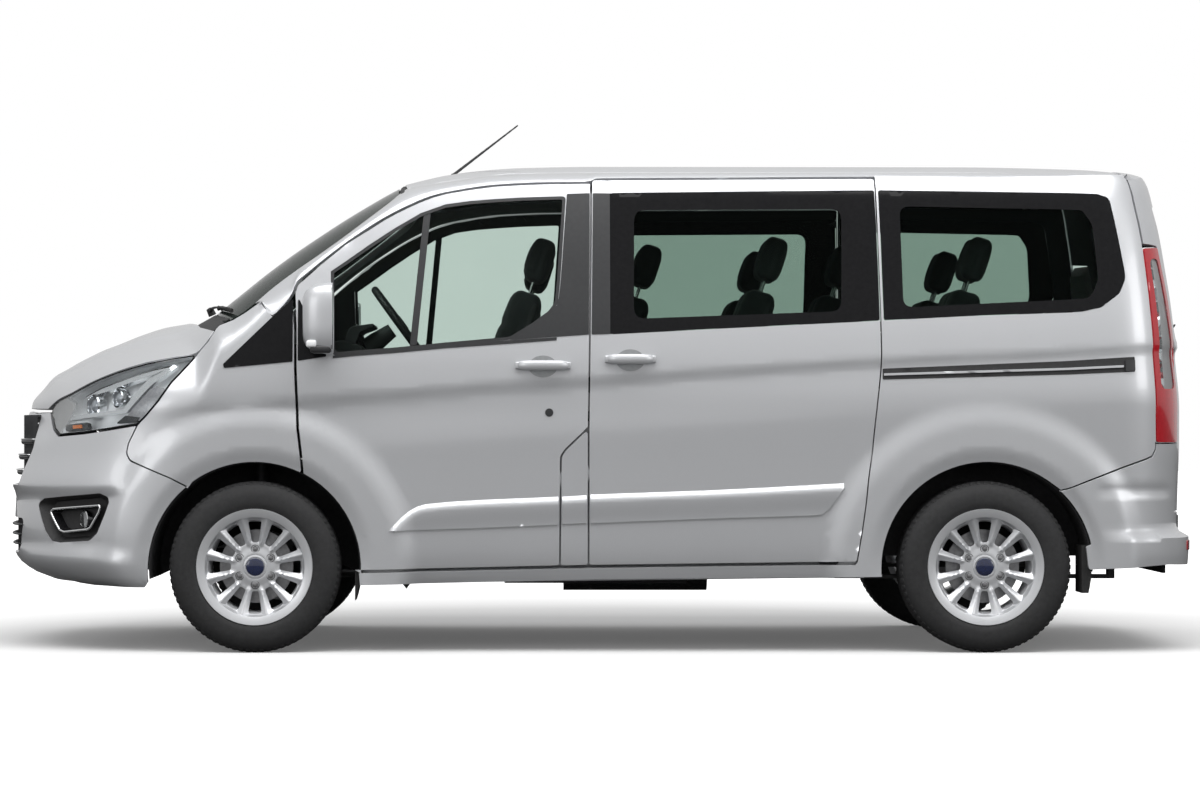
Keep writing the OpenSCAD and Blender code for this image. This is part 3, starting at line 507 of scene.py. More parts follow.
TAIL_POWER = 4.0
QUARTER = math.pi / 2
TURN = 0.86
NOSE_MIDDLE = NOSE_START + TURN * QUARTER
TAIL_MIDDLE = TAIL_START - TURN * QUARTER


# %% Edge lines where the side meets the bonnet, the windscreen and the roof
EDGE = [(2.316, 0.965, 0.44), (2.25, 0.981, 0.52), (2.202, 1.0205, 0.6), (2.1415, 1.045, 0.67),
    (2.084, 1.073, 0.72), (2.028, 1.098, 0.76), (1.92, 1.138, 0.81), (1.813, 1.168, 0.845),
    (1.711, 1.187, 0.87), (1.609, 1.202, 0.885), (1.559, 1.255, 0.885), (1.525, 1.313, 0.87),
    (1.46, 1.344, 0.86), (1.41, 1.374, 0.86), (1.36, 1.415, 0.855), (1.309, 1.46, 0.855),
    (1.209, 1.536, 0.845), (1.109, 1.607, 0.835), (1.009, 1.681, 0.82), (0.908, 1.759, 0.8),
    (0.848, 1.806, 0.785), (0.783, 1.854, 0.77), (0.605, 1.875, 0.85), (0.3, 1.905, 0.843),
    (-2.3, 1.905, 0.843)][::-1]
edge_z = smooth_line([(x, z) for x, z, y in EDGE])
edge_y = smooth_line([(x, y) for x, z, y in EDGE])
edge_band = smooth_line([(-2.3, 0.04), (0.6, 0.045), (0.8, 0.05), (1.3, 0.07), (1.5, 0.12), (1.6, 0.22),
    (2.3, 0.15)])
crease_z = smooth_line([(-2.263, 1.247), (-2.0, 1.23), (-1.15, 1.187), (-0.5, 1.145), (0, 1.11),
    (0.5, 1.078), (1.0, 1.038), (1.2, 1.02), (1.549, 0.995), (1.9, 0.985)])


# %% The surface function
def turned(angle, power):
    """Shares of depth and width on a superellipse at a turning angle."""
    s, c = np.sin(angle), np.cos(angle)
    size = (s**power + c**power) ** (1 / power)
    return s / size, c / size


def flare(x, z):
    """How far a point belongs to a wheel arch flare, and how deep it is in the arch's lip."""
    front = np.hypot(x - FRONT_AXLE, z - 0.34)
    rear = np.hypot(x - REAR_AXLE + 0.006, z - 0.34)
    r = np.minimum(front, rear)
    return 1 - ease((r - 0.572) / 0.1), ease((0.474 - r) / 0.045)


def body_points(w, z, out=0.0):
    """Places on the left side, nose and tail for arrays of w and z, lifted out by a distance."""
    w, z = np.asarray(w, float), np.asarray(z, float)
    wide = half_width(z)
    at_nose = np.clip((w - NOSE_START) / TURN, 0, QUARTER)
    at_tail = np.clip((TAIL_START - w) / TURN, 0, QUARTER)
    power = np.where(at_tail > 0, TAIL_POWER, nose_power(z))
    angle = np.maximum(at_nose, at_tail)
    deep, broad = turned(angle, power)
    long = np.where(at_tail > 0, TAIL_START - tail_line(z), nose_line(z) - NOSE_START)
    sign = np.where(at_tail > 0, -1.0, 1.0)
    base = np.clip(w, TAIL_START, NOSE_START)
    x = base + sign * long * deep
    y = wide * broad
    nx = sign * deep ** (power - 1) / long
    ny = broad ** (power - 1) / wide
    size = np.hypot(nx, ny)
    nx, ny = nx / size, ny / size
    # the side rolls in to meet the bonnet, the windscreen and the roof
    top, band = edge_z(x), edge_band(x)
    roll = np.clip((z - (top - band)) / band, 0, 1) ** 2
    reach = np.where(x > NOSE_START, wide * broad, half_width(top)) - edge_y(x)
    y = y - np.clip(reach, 0, 0.12) * roll * (angle < 1.2) * (x > -1.8)
    # shoulder crease: a shallow hollow below the line
    below = crease_z(x) - z
    hollow = 0.007 * ease(below / 0.045) * (1 - ease((below - 0.05) / 0.2))
    hollow = hollow * (1 - ease((x - 1.45) / 0.3))
    k, lip = flare(x, z)
    lift = (0.9905 - wide) * k * (1 - ease((angle - 0.35) / 0.3)) - 0.01 * lip
    total = out + lift - hollow * (1 - k)
    return np.stack([x + nx * total, y + ny * total, z], axis=-1)


def angle_at_x(x, z):
    """The w of a point on the nose or tail whose x is known."""
    if x > NOSE_START:
        power, long = float(nose_power(z)), float(nose_line(z)) - NOSE_START
        deep = min((x - NOSE_START) / long, 0.99999)
        return NOSE_START + TURN * math.atan2(deep, (1 - deep**power) ** (1 / power))
    if x < TAIL_START:
        long = TAIL_START - float(tail_line(z))
        deep = min((TAIL_START - x) / long, 0.99999)
        return TAIL_START - TURN * math.atan2(deep, (1 - deep**TAIL_POWER) ** (1 / TAIL_POWER))
    return x


def angle_at_y(y, z, end=1):
    """The w of a point on the nose (end 1) or tail (end -1) whose y is known."""
    power = float(nose_power(z)) if end > 0 else TAIL_POWER
    broad = min(max(y / float(half_width(z)), 0), 0.99999)
    angle = math.atan2((1 - broad**power) ** (1 / power), broad)
    return NOSE_START + TURN * angle if end > 0 else TAIL_START - TURN * angle


def side(points):
    """An outline given by x and z, turned into w and z."""
    return [(angle_at_x(p[0], p[1]), *p[1:]) for p in points]


def front(points):
    return [(angle_at_y(p[0], p[1], 1), *p[1:]) for p in points]


def back(points):
    return [(angle_at_y(p[0], p[1], -1), *p[1:]) for p in points]


# %% Panels on the body's surface
def feature_rows(step):
    """Rows of points along the shoulder crease and the two flares, so that they stay crisp."""
    rows = []
    xs = np.arange(-2.2, 1.6, step)
    for drop in (0.0, 0.022, 0.045):
        rows.append([(x, float(crease_z(x)) - drop) for x in xs])
    for centre in (FRONT_AXLE, REAR_AXLE - 0.006):
        for r in (0.474, 0.45, 0.572, 0.6, 0.64, 0.672):
            turns = np.arange(0.05, math.pi, step / r)
            rows.append([(centre + r * math.cos(a), 0.34 + r * math.sin(a)) for a in turns])
    return rows


STEP = 0.024
ROWS = feature_rows(STEP)


def body_panel(name, outline, body, material=None, holes=(), thickness=0.02, out=0.0, step=STEP,
        bevel=0.0022, inner=None, slot="paint", whole=False, surface=body_points):
    """A panel on the left side; `whole` joins it with its mirror image across the middle."""
    loops = [resample(rounded(loop), step) for loop in [outline, *holes]]
    flat, faces = net(loops, step, ROWS if surface is body_points and step <= STEP else ())
    verts = surface(flat[:, 0], flat[:, 1], out)
    if whole:
        count = len(verts)
        verts = np.concatenate([verts, verts * (1, -1, 1)])
        faces = np.concatenate([faces, faces[:, ::-1] + count])
    a, b, c = (verts[faces[:, i]] for i in range(3))
    centre = verts.mean(axis=0)
    spin = np.einsum("ij,ij->i", np.cross(b - a, c - a), (a + b + c) / 3 - (0, 0, centre[2] - 0.3)).sum()
    if spin < 0:
        faces = faces[:, ::-1]
    obj = make_object(name, verts, faces, material or PAINT, body, slot)
    if whole:
        weld(obj)
    if thickness:
        thicken(obj, thickness, bevel, inner)
    return obj


def weld(obj, distance=0.0004):
    """Merges points that fall together, such as those on the middle line."""
    bm = bmesh.new()
    bm.from_mesh(obj.data)
    bmesh.ops.remove_doubles(bm, verts=bm.verts, dist=distance)
    bm.to_mesh(obj.data)
    bm.free()


print("surface ready; nose at", body_points([NOSE_MIDDLE], [0.5])[0].round(3))

# %% [markdown]
# ## Side panels
# Every panel edge is a real joint of the body: the doors, the fixed quarter panel with the sill and
# the wing each get their own outline. Neighbours stay a few millimetres apart, which draws the dark
# gaps. The wheel arches are arcs about the axles.

# %% Outlines along the side
GAP = 0.0035
ARCH_R = 0.425
ARCH_Z = 0.34


def arch(centre, start, end, count=22):
    """Points on a wheel arch between two angles in degrees, 0 pointing forwards."""
    return [(centre + ARCH_R * math.cos(math.radians(a)),
        ARCH_Z + ARCH_R * math.sin(math.radians(a))) for a in np.linspace(start, end, count)]


def shrunk(points, amount):
    """The outline moved inwards by an amount, corner by corner."""
    flat = [Vector(p[:2]) for p in points]
    area = sum(a.x * b.y - b.x * a.y for a, b in zip(flat, flat[1:] + flat[:1]))
    turn = 1 if area > 0 else -1
    result = []
    for i, here in enumerate(flat):
        before = (here - flat[i - 1]).normalized()
        after = (flat[(i + 1) % len(flat)] - here).normalized()
        n0 = Vector((-before.y, before.x)) * turn
        n1 = Vector((-after.y, after.x)) * turn
        middle_way = (n0 + n1)
        if middle_way.length < 1e-6:
            middle_way = n0
        middle_way.normalize()
        size = amount / max(middle_way.dot(n0), 0.4)
        result.append((*(here + middle_way * size), *points[i][2:]))
    return result


door_top_line = [(1.207, 1.441), (1.197, 1.477, 0.02), (1.153, 1.517), (1.103, 1.562), (1.053, 1.603),
    (1.004, 1.644), (0.954, 1.676), (0.904, 1.707), (0.854, 1.74), (0.804, 1.768), (0.754, 1.793),
    (0.703, 1.817), (0.653, 1.836), (0.603, 1.85), (0.502, 1.868), (0.401, 1.881), (0.3, 1.887),
    (0.199, 1.891), (0.016, 1.893)]
door_front_line = [(1.172, 0.718), (1.178, 0.8), (1.19, 0.9), (1.2, 1.14), (1.201, 1.3)]
door_arch = arch(FRONT_AXLE, 182.0, 118.6, 14)
front_door_left = door_top_line + [(0.022, 1.27), (0.027, 0.905, 0.012), (0.12, 0.815, 0.03),
    (0.138, 0.788, 0.03), (0.142, 0.348, 0.01), (0.955, 0.331)] + door_arch + door_front_line
front_door_right = door_top_line + [(0.022, 1.27), (0.027, 0.905), (0.027, 0.35, 0.01),
    (0.955, 0.331)] + door_arch + door_front_line
flap_outline = [(0.027, 0.905, 0.012), (0.12, 0.815, 0.03), (0.138, 0.788, 0.03), (0.142, 0.348, 0.01),
    (0.027, 0.35, 0.01)]
slide_rear_line = [(-1.048, 0.364, 0.012), (-1.071, 0.5), (-1.085, 0.6), (-1.095, 0.7), (-1.11, 0.8),
    (-1.12, 0.9), (-1.139, 1.07), (-1.145, 1.13), (-1.148, 1.2), (-1.146, 1.33), (-1.142, 1.502),
    (-1.138, 1.705), (-1.134, 1.863), (-1.132, 1.913, 0.012)]
slide_outline = [(0.013, 1.907, 0.012), (0.022, 1.27), (0.027, 0.905),
    (0.027, 0.35, 0.012)] + slide_rear_line

window_outline = [(1.062, 1.482), (1.063, 1.532), (1.003, 1.573), (0.903, 1.644), (0.803, 1.71),
    (0.703, 1.769), (0.603, 1.805), (0.502, 1.819), (0.401, 1.827), (0.3, 1.833), (0.15, 1.838, 0.04),
    (0.117, 1.838, 0.03), (0.14, 1.502), (0.15, 1.4, 0.06), (0.18, 1.361, 0.04), (0.25, 1.31, 0.05),
    (0.34, 1.255, 0.05), (0.6, 1.232), (0.8, 1.212), (0.96, 1.2), (1.056, 1.19, 0.02)]
slide_glass_outline = [(-0.063, 1.277, 0.012), (-0.063, 1.852, 0.012), (-0.6, 1.858),
    (-1.128, 1.863, 0.01), (-1.134, 1.7), (-1.138, 1.502), (-1.141, 1.332, 0.01), (-0.5, 1.3)]
quarter_glass_outline = [(-1.156, 1.333, 0.01), (-1.152, 1.502), (-1.148, 1.7), (-1.144, 1.863, 0.01),
    (-1.515, 1.858), (-2.029, 1.848, 0.03), (-2.079, 1.832, 0.04), (-2.13, 1.543), (-2.134, 1.502, 0.05),
    (-2.106, 1.441, 0.06), (-2.03, 1.385, 0.09), (-1.953, 1.368), (-1.502, 1.351)]
slide_clear = [(-0.155, 1.34, 0.045), (-0.158, 1.781, 0.045), (-0.994, 1.786, 0.045),
    (-0.987, 1.371, 0.045)]
quarter_clear = [(-1.237, 1.386, 0.04), (-1.229, 1.797, 0.04), (-1.965, 1.781, 0.07),
    (-2.004, 1.725, 0.06), (-2.022, 1.502, 0.06), (-1.99, 1.425, 0.09)]
rear_arch = arch(REAR_AXLE - 0.006, 131.6, -3, 34)
quarter_outline = [(-1.132, 1.925), (-1.6, 1.92), (-2.148, 1.932), (-2.158, 1.913), (-2.177, 1.841),
    (-2.198, 1.728), (-2.211, 1.646), (-2.226, 1.5), (-2.234, 1.403), (-2.245, 1.252), (-2.252, 1.101),
    (-2.254, 0.93), (-2.254, 0.82, 0.02), (-2.238, 0.79, 0.02), (-2.216, 0.78),
    (-1.864, 0.653)] + rear_arch[1:] + [(-1.152, 0.304, 0.02), (0.0, 0.292), (0.945, 0.27),
    (0.949, 0.322), (0.142, 0.338), (0.0, 0.341),
    (-1.04, 0.355)] + slide_rear_line[:-1] + [(-1.132, 1.918)]
wing_outline = [(1.602, 1.2), (1.559, 1.252), (1.528, 1.305), (1.515, 1.318), (1.46, 1.34), (1.41, 1.37),
    (1.35, 1.412), (1.296, 1.351), (1.215, 1.42), (1.207, 1.3), (1.206, 1.14), (1.196, 0.9), (1.184, 0.8),
    (1.178, 0.73)] + arch(FRONT_AXLE, 115.6, 54.5, 16) + [(1.628, 0.664), (1.701, 0.702), (1.802, 0.745),
    (1.868, 0.772, 0.03), (1.884, 0.8, 0.03), (1.876, 0.84), (1.838, 0.915, 0.01), (1.803, 0.95),
    (1.751, 1.01), (1.7, 1.085), (1.65, 1.14)]

# %% Doors, quarter panels and wings
sides = {}
for label, outline in (("left", front_door_left), ("right", front_door_right)):
    piece = body_panel(f"door_skin_front_{label}", side(shrunk(outline, GAP)), f"door_{label}",
        holes=[window_outline], thickness=0.05, inner=CABIN)
    sides[f"door_{label}"] = piece
slide = body_panel("sliding_door_skin_left", side(shrunk(slide_outline, GAP)), "body",
    holes=[slide_glass_outline], thickness=0.045, inner=CABIN)
quarter = body_panel("quarter_panel_left", side(shrunk(quarter_outline, GAP / 2)), "body",
    holes=[side(quarter_glass_outline)], thickness=0.03, inner=CABIN)
wing = body_panel("wing_left", side(shrunk(wing_outline, GAP / 2)), "body", thickness=0.03)
flap = body_panel("filler_flap_skin", side(shrunk(flap_outline, GAP)), "filler_flap", thickness=0.012)


def flip_sides(obj):
    """Turns a piece that was drawn on the left into the right-hand one, in place."""
    obj.data.transform(Matrix.Scale(-1, 4, (0, 1, 0)))
    obj.data.flip_normals()


flip_sides(sides["door_right"])
mirrored(slide, "sliding_door_skin_right")
mirrored(quarter, "quarter_panel_right")
mirrored(wing, "wing_right")
print("side panels", len(PIECES))

# %% [markdown]
# ## Lofted panels: bonnet, windscreen, roof and pillars
# These run between a line on the middle plane and a line along the edge. A loft blends the two with
# a power law, which gives the full crown of a pressed panel that falls away near its edge.

# %% Lofts
def line3(points):
    """A smooth 3-D line through points, by share 0 to 1 of its length."""
    points = np.array(points, float)
    length = np.concatenate([[0], np.cumsum(np.linalg.norm(np.diff(points, axis=0), axis=1))])
    parts = [smooth_line(list(zip(length / length[-1], points[:, k]))) for k in range(3)]
    return lambda t: np.stack([part(t) for part in parts], axis=-1)


def crowned(centre, edge, power_x=2.0, power_z=2.5):
    """A surface from the centre line (s = 0) to the edge line (s = 1), for t along the lines."""
    def at(s, t, out=0.0):
        c, e = centre(t), edge(t)
        x = c[:, 0] + (e[:, 0] - c[:, 0]) * s**power_x
        z = c[:, 2] + (e[:, 2] - c[:, 2]) * s**power_z
        return np.stack([x, e[:, 1] * s, z + out], axis=-1)
    return at


def lofted(name, surface, s_range, t_range, counts, body, material, slot, whole=True, thickness=0.01,
        bevel=0.002, inner=None, shape=None, out=0.0):
    """A grid on a loft; `shape` may bend t as a function of s and t, to curve an end."""
    s, t = np.meshgrid(np.linspace(*s_range, counts[0]), np.linspace(*t_range, counts[1]))
    flat_t = shape(s, t).ravel() if shape else t.ravel()
    verts = surface(s.ravel(), flat_t, out)
    across, along = counts
    index = np.arange(along * across).reshape(along, across)
    quads = np.stack([index[:-1, :-1], index[:-1, 1:], index[1:, 1:], index[1:, :-1]], -1).reshape(-1, 4)
    if whole:
        count = len(verts)
        verts = np.concatenate([verts, verts * (1, -1, 1)])
        quads = np.concatenate([quads, quads[:, ::-1] + count])
    a, b, d = (verts[quads[:, i]] for i in (0, 1, 3))
    if np.cross(b - a, d - a)[:, 2].sum() < 0:
        quads = quads[:, ::-1]
    obj = make_object(name, verts, quads, material, body, slot)
    if whole:
        weld(obj)
    if thickness:
        thicken(obj, thickness, bevel, inner)
    return obj


# %% Bonnet
bonnet_centre = line3([(2.393, 0, 0.981), (2.388, 0, 1.008), (2.339, 0, 1.062), (2.286, 0, 1.115),
    (2.232, 0, 1.144), (2.179, 0, 1.174), (2.125, 0, 1.201), (2.072, 0, 1.226), (2.018, 0, 1.246),
    (1.911, 0, 1.289), (1.804, 0, 1.322), (1.7, 0, 1.336)])
bonnet_side = line3([(2.262, 0.5, 0.979), (2.202, 0.6, 1.0205), (2.1415, 0.67, 1.045),
    (2.084, 0.72, 1.073), (2.028, 0.76, 1.098), (1.92, 0.81, 1.138), (1.813, 0.845, 1.168),
    (1.711, 0.87, 1.187), (1.615, 0.883, 1.203), (1.563, 0.883, 1.255), (1.532, 0.868, 1.306)])
bonnet_surface = crowned(bonnet_centre, bonnet_side)


def bonnet_relief(s, t, out=0.0):
    """Bonnet with a raised middle field between two soft creases."""
    places = bonnet_surface(s, t, out)
    crease = 0.42 + 0.3 * t
    raised = 0.01 * (1 - ease((s - crease) / 0.09 + 0.5)) * ease(t / 0.25)
    places[:, 2] += raised
    return places


bonnet = lofted("bonnet_skin", bonnet_relief, (0, 0.996), (0.004, 0.985), (56, 60), "bonnet_lid", PAINT,
    "paint", thickness=0.022, inner=SATIN_BLACK)

# %% Windscreen
screen_centre = line3([(1.637, 0, 1.346), (1.56, 0, 1.413), (1.482, 0, 1.476), (1.375, 0, 1.561),
    (1.268, 0, 1.64), (1.16, 0, 1.713), (1.053, 0, 1.782), (0.945, 0, 1.846), (0.839, 0, 1.904),
    (0.8, 0, 1.922)])
screen_side = line3([(1.51, 0.86, 1.324), (1.46, 0.86, 1.344), (1.41, 0.86, 1.374), (1.36, 0.855, 1.415),
    (1.309, 0.855, 1.46), (1.209, 0.845, 1.536), (1.109, 0.835, 1.607), (1.009, 0.82, 1.681),
    (0.908, 0.8, 1.759), (0.848, 0.785, 1.806), (0.783, 0.77, 1.854)])
screen_surface = crowned(screen_centre, screen_side, 2.0, 2.2)
screen = lofted("windscreen_glass", screen_surface, (0, 0.985), (0.02, 0.985), (44, 36), "body",
    CLEAR_GLASS, "clear_glass", thickness=0.006, bevel=0)

# %% Roof
roof_middle = smooth_line([(-2.3, 1.925), (-2.27, 1.948), (-2.2, 1.968), (-2.0, 1.986), (-1.5, 1.998),
    (0, 2.0), (0.3, 1.994), (0.407, 1.988), (0.5, 1.98), (0.617, 1.963), (0.722, 1.94), (0.79, 1.922)])
roof_edge_z = smooth_line([(-2.3, 1.885), (-2.0, 1.905), (0.3, 1.905), (0.605, 1.868), (0.79, 1.852)])
roof_edge_y = smooth_line([(-2.3, 0.83), (-2.0, 0.843), (0.3, 0.843), (0.605, 0.845), (0.7, 0.8),
    (0.79, 0.765)])
ROOF_SEAM = 0.72


def roof_points(s, x, out=0.0):
    """Roof at a share s of the half width, bowed forwards at the windscreen's header."""
    z0, z1 = roof_middle(x), roof_edge_z(x)
    y = s * roof_edge_y(x)
    return np.stack([x, y, z0 - (z0 - z1) * s**3.5 + out], axis=-1)


def header_bow(s, t):
    """The front end of the roof follows the screen's bowed head."""
    front_end = 0.792 - 0.035 * s**2
    return t * (front_end + 2.155) - 2.155


roof = lofted("roof_skin", roof_points, (0, ROOF_SEAM / 0.843), (0, 1), (40, 90), "body", PAINT, "paint",
    shape=header_bow, thickness=0.02, inner=CABIN_PALE)
print("lofted panels", len(PIECES))

# %% [markdown]
# ## Pillar and roof rail
# One long pressed piece starts at the foot of the windscreen, climbs beside the glass and runs back
# over the doors to the tail. Its lower line follows the door tops and its upper line follows the
# glass and then the roof seam. Between them each rib is a short curve that leaves both tangentially.

# %% Roof rail
rail_low = [(1.338, 1.404), (1.297, 1.354), (1.262, 1.385), (1.216, 1.447), (1.204, 1.484),
    (1.158, 1.526), (1.056, 1.611), (0.956, 1.684), (0.856, 1.748), (0.756, 1.801), (0.655, 1.843),
    (0.56, 1.864), (0.402, 1.887), (0.2, 1.897), (0.03, 1.899), (-0.01, 1.913), (-0.5, 1.916),
    (-1.132, 1.92), (-1.6, 1.916), (-2.0, 1.914), (-2.146, 1.926)]


def rail():
    low = np.array([body_points([angle_at_x(x, z)], [z])[0] for x, z in rail_low])
    high = []
    for x, z in rail_low:
        if x > 0.8:
            t = np.interp(x, [0.8, 0.86, 0.96, 1.056, 1.158, 1.216, 1.262, 1.297, 1.338],
                [1.0, 0.93, 0.8, 0.665, 0.53, 0.42, 0.33, 0.26, 0.18])
            high.append(screen_surface(np.array([0.99]), np.array([t]))[0])
        else:
            high.append(roof_points(np.array([ROOF_SEAM / 0.843 + 0.004]), np.array([min(x, 0.752)]))[0])
    high = np.array(high)
    low_line, high_line = line3(low), line3(high)
    count_t, count_s = 150, 12
    verts = []
    length = np.concatenate([[0], np.cumsum(np.linalg.norm(np.diff(low, axis=0), axis=1))])
    high_length = np.concatenate([[0], np.cumsum(np.linalg.norm(np.diff(high, axis=0), axis=1))])
    share = np.linspace(0, 1, count_t)
    high_share = np.interp(share, length / length[-1], high_length / high_length[-1])
    for t, u in zip(share, high_share):
        p, q = low_line(t), high_line(u)
        rise = np.array([0, (half_width(p[2] + 0.01) - half_width(p[2])) / 0.01, 1.0])
        rise /= np.linalg.norm(rise)
        flat = np.array([0, -0.93, 0.3]) if p[0] < 0.7 else np.array([0, -0.95, 0.22])
        reach = np.linalg.norm(q - p)
        for k in range(count_s):
            s = k / (count_s - 1)
            a, b = 2 * s**3 - 3 * s**2 + 1, s**3 - 2 * s**2 + s
            c, d = 3 * s**2 - 2 * s**3, s**3 - s**2
            verts.append(a * p + b * rise * reach * 0.9 + c * q + d * flat * reach * 0.9)
    index = np.arange(count_t * count_s).reshape(count_t, count_s)
    quads = np.stack([index[:-1, :-1], index[1:, :-1], index[1:, 1:], index[:-1, 1:]], -1)
    quads = quads.reshape(-1, 4)
    verts = np.array(verts)
    a, b, d = (verts[quads[:, i]] for i in (0, 1, 3))
    if np.cross(b - a, d - a)[:, 1].sum() < 0:
        quads = quads[:, ::-1]
    obj = make_object("roof_rail_left", verts, quads, PAINT, "body", "paint")
    return thicken(obj, 0.03, 0.002, CABIN_PALE)


rail_left = rail()
mirrored(rail_left, "roof_rail_right")

# %% [markdown]
# ## Wells, lathes, tubes and blocks
# Lamps, handles and the plate sit in shallow wells of the skin. A well is the same net as a panel,
# sunk below the surface, with a wall around its rim. A lathe makes round parts from a profile, a tube
# follows a path, and a block is a bevelled box for brackets and hidden parts.

# %% Shape helpers
def well(name, outline, depth, body, material, slot, surface=body_points, step=STEP, shrink=0.9, top=0.0,
        thickness=0.004):
    """A sunk tray under an outline of the surface, with slanted walls."""
    loop = resample(rounded(outline), step)
    flat, faces = net([loop], step)
    centre = flat.mean(axis=0)
    small = centre + (flat - centre) * shrink
    floor = surface(small[:, 0], small[:, 1], top - depth)
    rim = surface(flat[:, 0], flat[:, 1], top)
    count = {}
    for face in faces:
        for a, b in zip(face, np.roll(face, -1)):
            key = (min(a, b), max(a, b))
            count[key] = count.get(key, []) + [(a, b)]
    edges = [uses[0] for uses in count.values() if len(uses) == 1]
    lip = {v: len(floor) + i for i, v in enumerate(sorted({v for edge in edges for v in edge}))}
    verts = np.concatenate([floor, rim[list(lip)]])
    polys = [tuple(f) for f in faces] + [(b, a, lip[a], lip[b]) for a, b in edges]
    obj = make_object(name, verts, polys, material, body, slot)
    weld(obj)
    turn_outwards(obj, floor.mean(axis=0) - rim.mean(axis=0))
    thicken(obj, thickness, 0)
    return obj


def turn_outwards(obj, inwards):
    """Makes an open sheet's faces point against a direction."""
    bm = bmesh.new()
    bm.from_mesh(obj.data)
    bmesh.ops.recalc_face_normals(bm, faces=bm.faces)
    total = sum((f.normal * f.calc_area() for f in bm.faces), Vector())
    if total.dot(Vector(inwards)) > 0:
        bmesh.ops.reverse_faces(bm, faces=bm.faces)
    bm.to_mesh(obj.data)
    bm.free()


def close_and_turn(obj):
    """Merges doubles and turns a closed mesh's faces outwards."""
    bm = bmesh.new()
    bm.from_mesh(obj.data)
    bmesh.ops.remove_doubles(bm, verts=bm.verts, dist=0.00005)
    bmesh.ops.recalc_face_normals(bm, faces=bm.faces)
    bm.to_mesh(obj.data)
    bm.free()
    return obj


def turned_part(name, profile, place, axis, material, body, slot, segments=40, sharp=35):
    """A lathe: the profile of (radius, height) points turned about an axis through a place."""
    turn = Vector(axis).to_track_quat("Z", "Y").to_matrix()
    rings, verts = [], []
    for r, h in profile:
        if r < 1e-6:
            rings.append([len(verts)])
            verts.append(turn @ Vector((0, 0, h)) + Vector(place))
            continue
        ring = []
        for k in range(segments):
            a = 2 * math.pi * k / segments
            ring.append(len(verts))
            verts.append(turn @ Vector((r * math.cos(a), r * math.sin(a), h)) + Vector(place))
        rings.append(ring)
    faces = []
    for low, high in zip(rings, rings[1:]):
        for k in range(segments):
            a, b = low[k % len(low)], low[(k + 1) % len(low)]
            c, d = high[(k + 1) % len(high)], high[k % len(high)]
            face = [a, b, c, d]
            face = [v for i, v in enumerate(face) if v not in face[:i]]
            if len(face) > 2:
                faces.append(face)
    obj = make_object(name, verts, faces, material, body, slot)
    close_and_turn(obj)
    obj.data.set_sharp_from_angle(angle=math.radians(sharp))
    return obj


def tube(name, path, radius, material, body, slot, segments=10, closed=False, flat=1.0, up=(0, 0, 1)):
    """A bar along a path; `radius` may be one number or one for each point."""
    path = [Vector(p) for p in path]
    count = len(path)
    radii = [radius] * count if isinstance(radius, (int, float)) else list(radius)
    verts, faces = [], []
    for i, here in enumerate(path):
        before = path[i - 1] if i or closed else here
        after = path[(i + 1) % count] if i + 1 < count or closed else here
        along = (after - before).normalized()
        side_way = along.cross(Vector(up)).normalized()
        rise = side_way.cross(along).normalized()
        for k in range(segments):
            a = 2 * math.pi * k / segments
            verts.append(here + (side_way * math.cos(a) + rise * math.sin(a) * flat) * radii[i])
    spans = count if closed else count - 1
    for i in range(spans):
        j = (i + 1) % count
        for k in range(segments):
            m = (k + 1) % segments
            faces.append((i * segments + k, i * segments + m, j * segments + m, j * segments + k))
    if not closed:
        faces.append(tuple(range(segments)))
        faces.append(tuple(range((count - 1) * segments, count * segments)))
    obj = make_object(name, verts, faces, material, body, slot)
    close_and_turn(obj)
    obj.data.set_sharp_from_angle(angle=math.radians(60))
    return obj


def block(name, low, high, material, body, slot, bevel=0.004, segments=3, turn=None, taper=1.0):
    """A bevelled box between two corners; `taper` narrows its top, `turn` is a (place, matrix)."""
    low, high = Vector(low), Vector(high)
    bm = bmesh.new()
    bmesh.ops.create_cube(bm, size=1)
    for v in bm.verts:
        share = taper if v.co.z > 0 else 1
        v.co = Vector((v.co.x * share, v.co.y * share, v.co.z))
        v.co = Vector([(low[k] + high[k]) / 2 + v.co[k] * (high[k] - low[k]) for k in range(3)])
    if bevel:
        bmesh.ops.bevel(bm, geom=bm.edges[:], offset=bevel, segments=segments, profile=0.5,
            affect="EDGES", clamp_overlap=True)
    if turn:
        bmesh.ops.rotate(bm, verts=bm.verts, cent=turn[0], matrix=turn[1])
    mesh = bpy.data.meshes.new(name)
    bm.to_mesh(mesh)
    bm.free()
    obj = adopt(name, mesh, material, body, slot)
    mesh.set_sharp_from_angle(angle=math.radians(40))
    return obj


def place_on(w, z, out=0.0):
    return Vector(body_points(np.array([w]), np.array([z]), out)[0])


def outwards(w, z):
    """The surface's own outward direction at a point."""
    return (place_on(w, z, 0.01) - place_on(w, z, 0.0)).normalized()


# %% [markdown]
# ## Nose: bumper, grille and lamps
# The bumper is one large moulding from wheel arch to wheel arch, with openings for the grille, the
# lower grille, the headlamps above and a bezel for each fog lamp. The line under the bonnet and the
# lamps is the same curve, so the gap stays even.

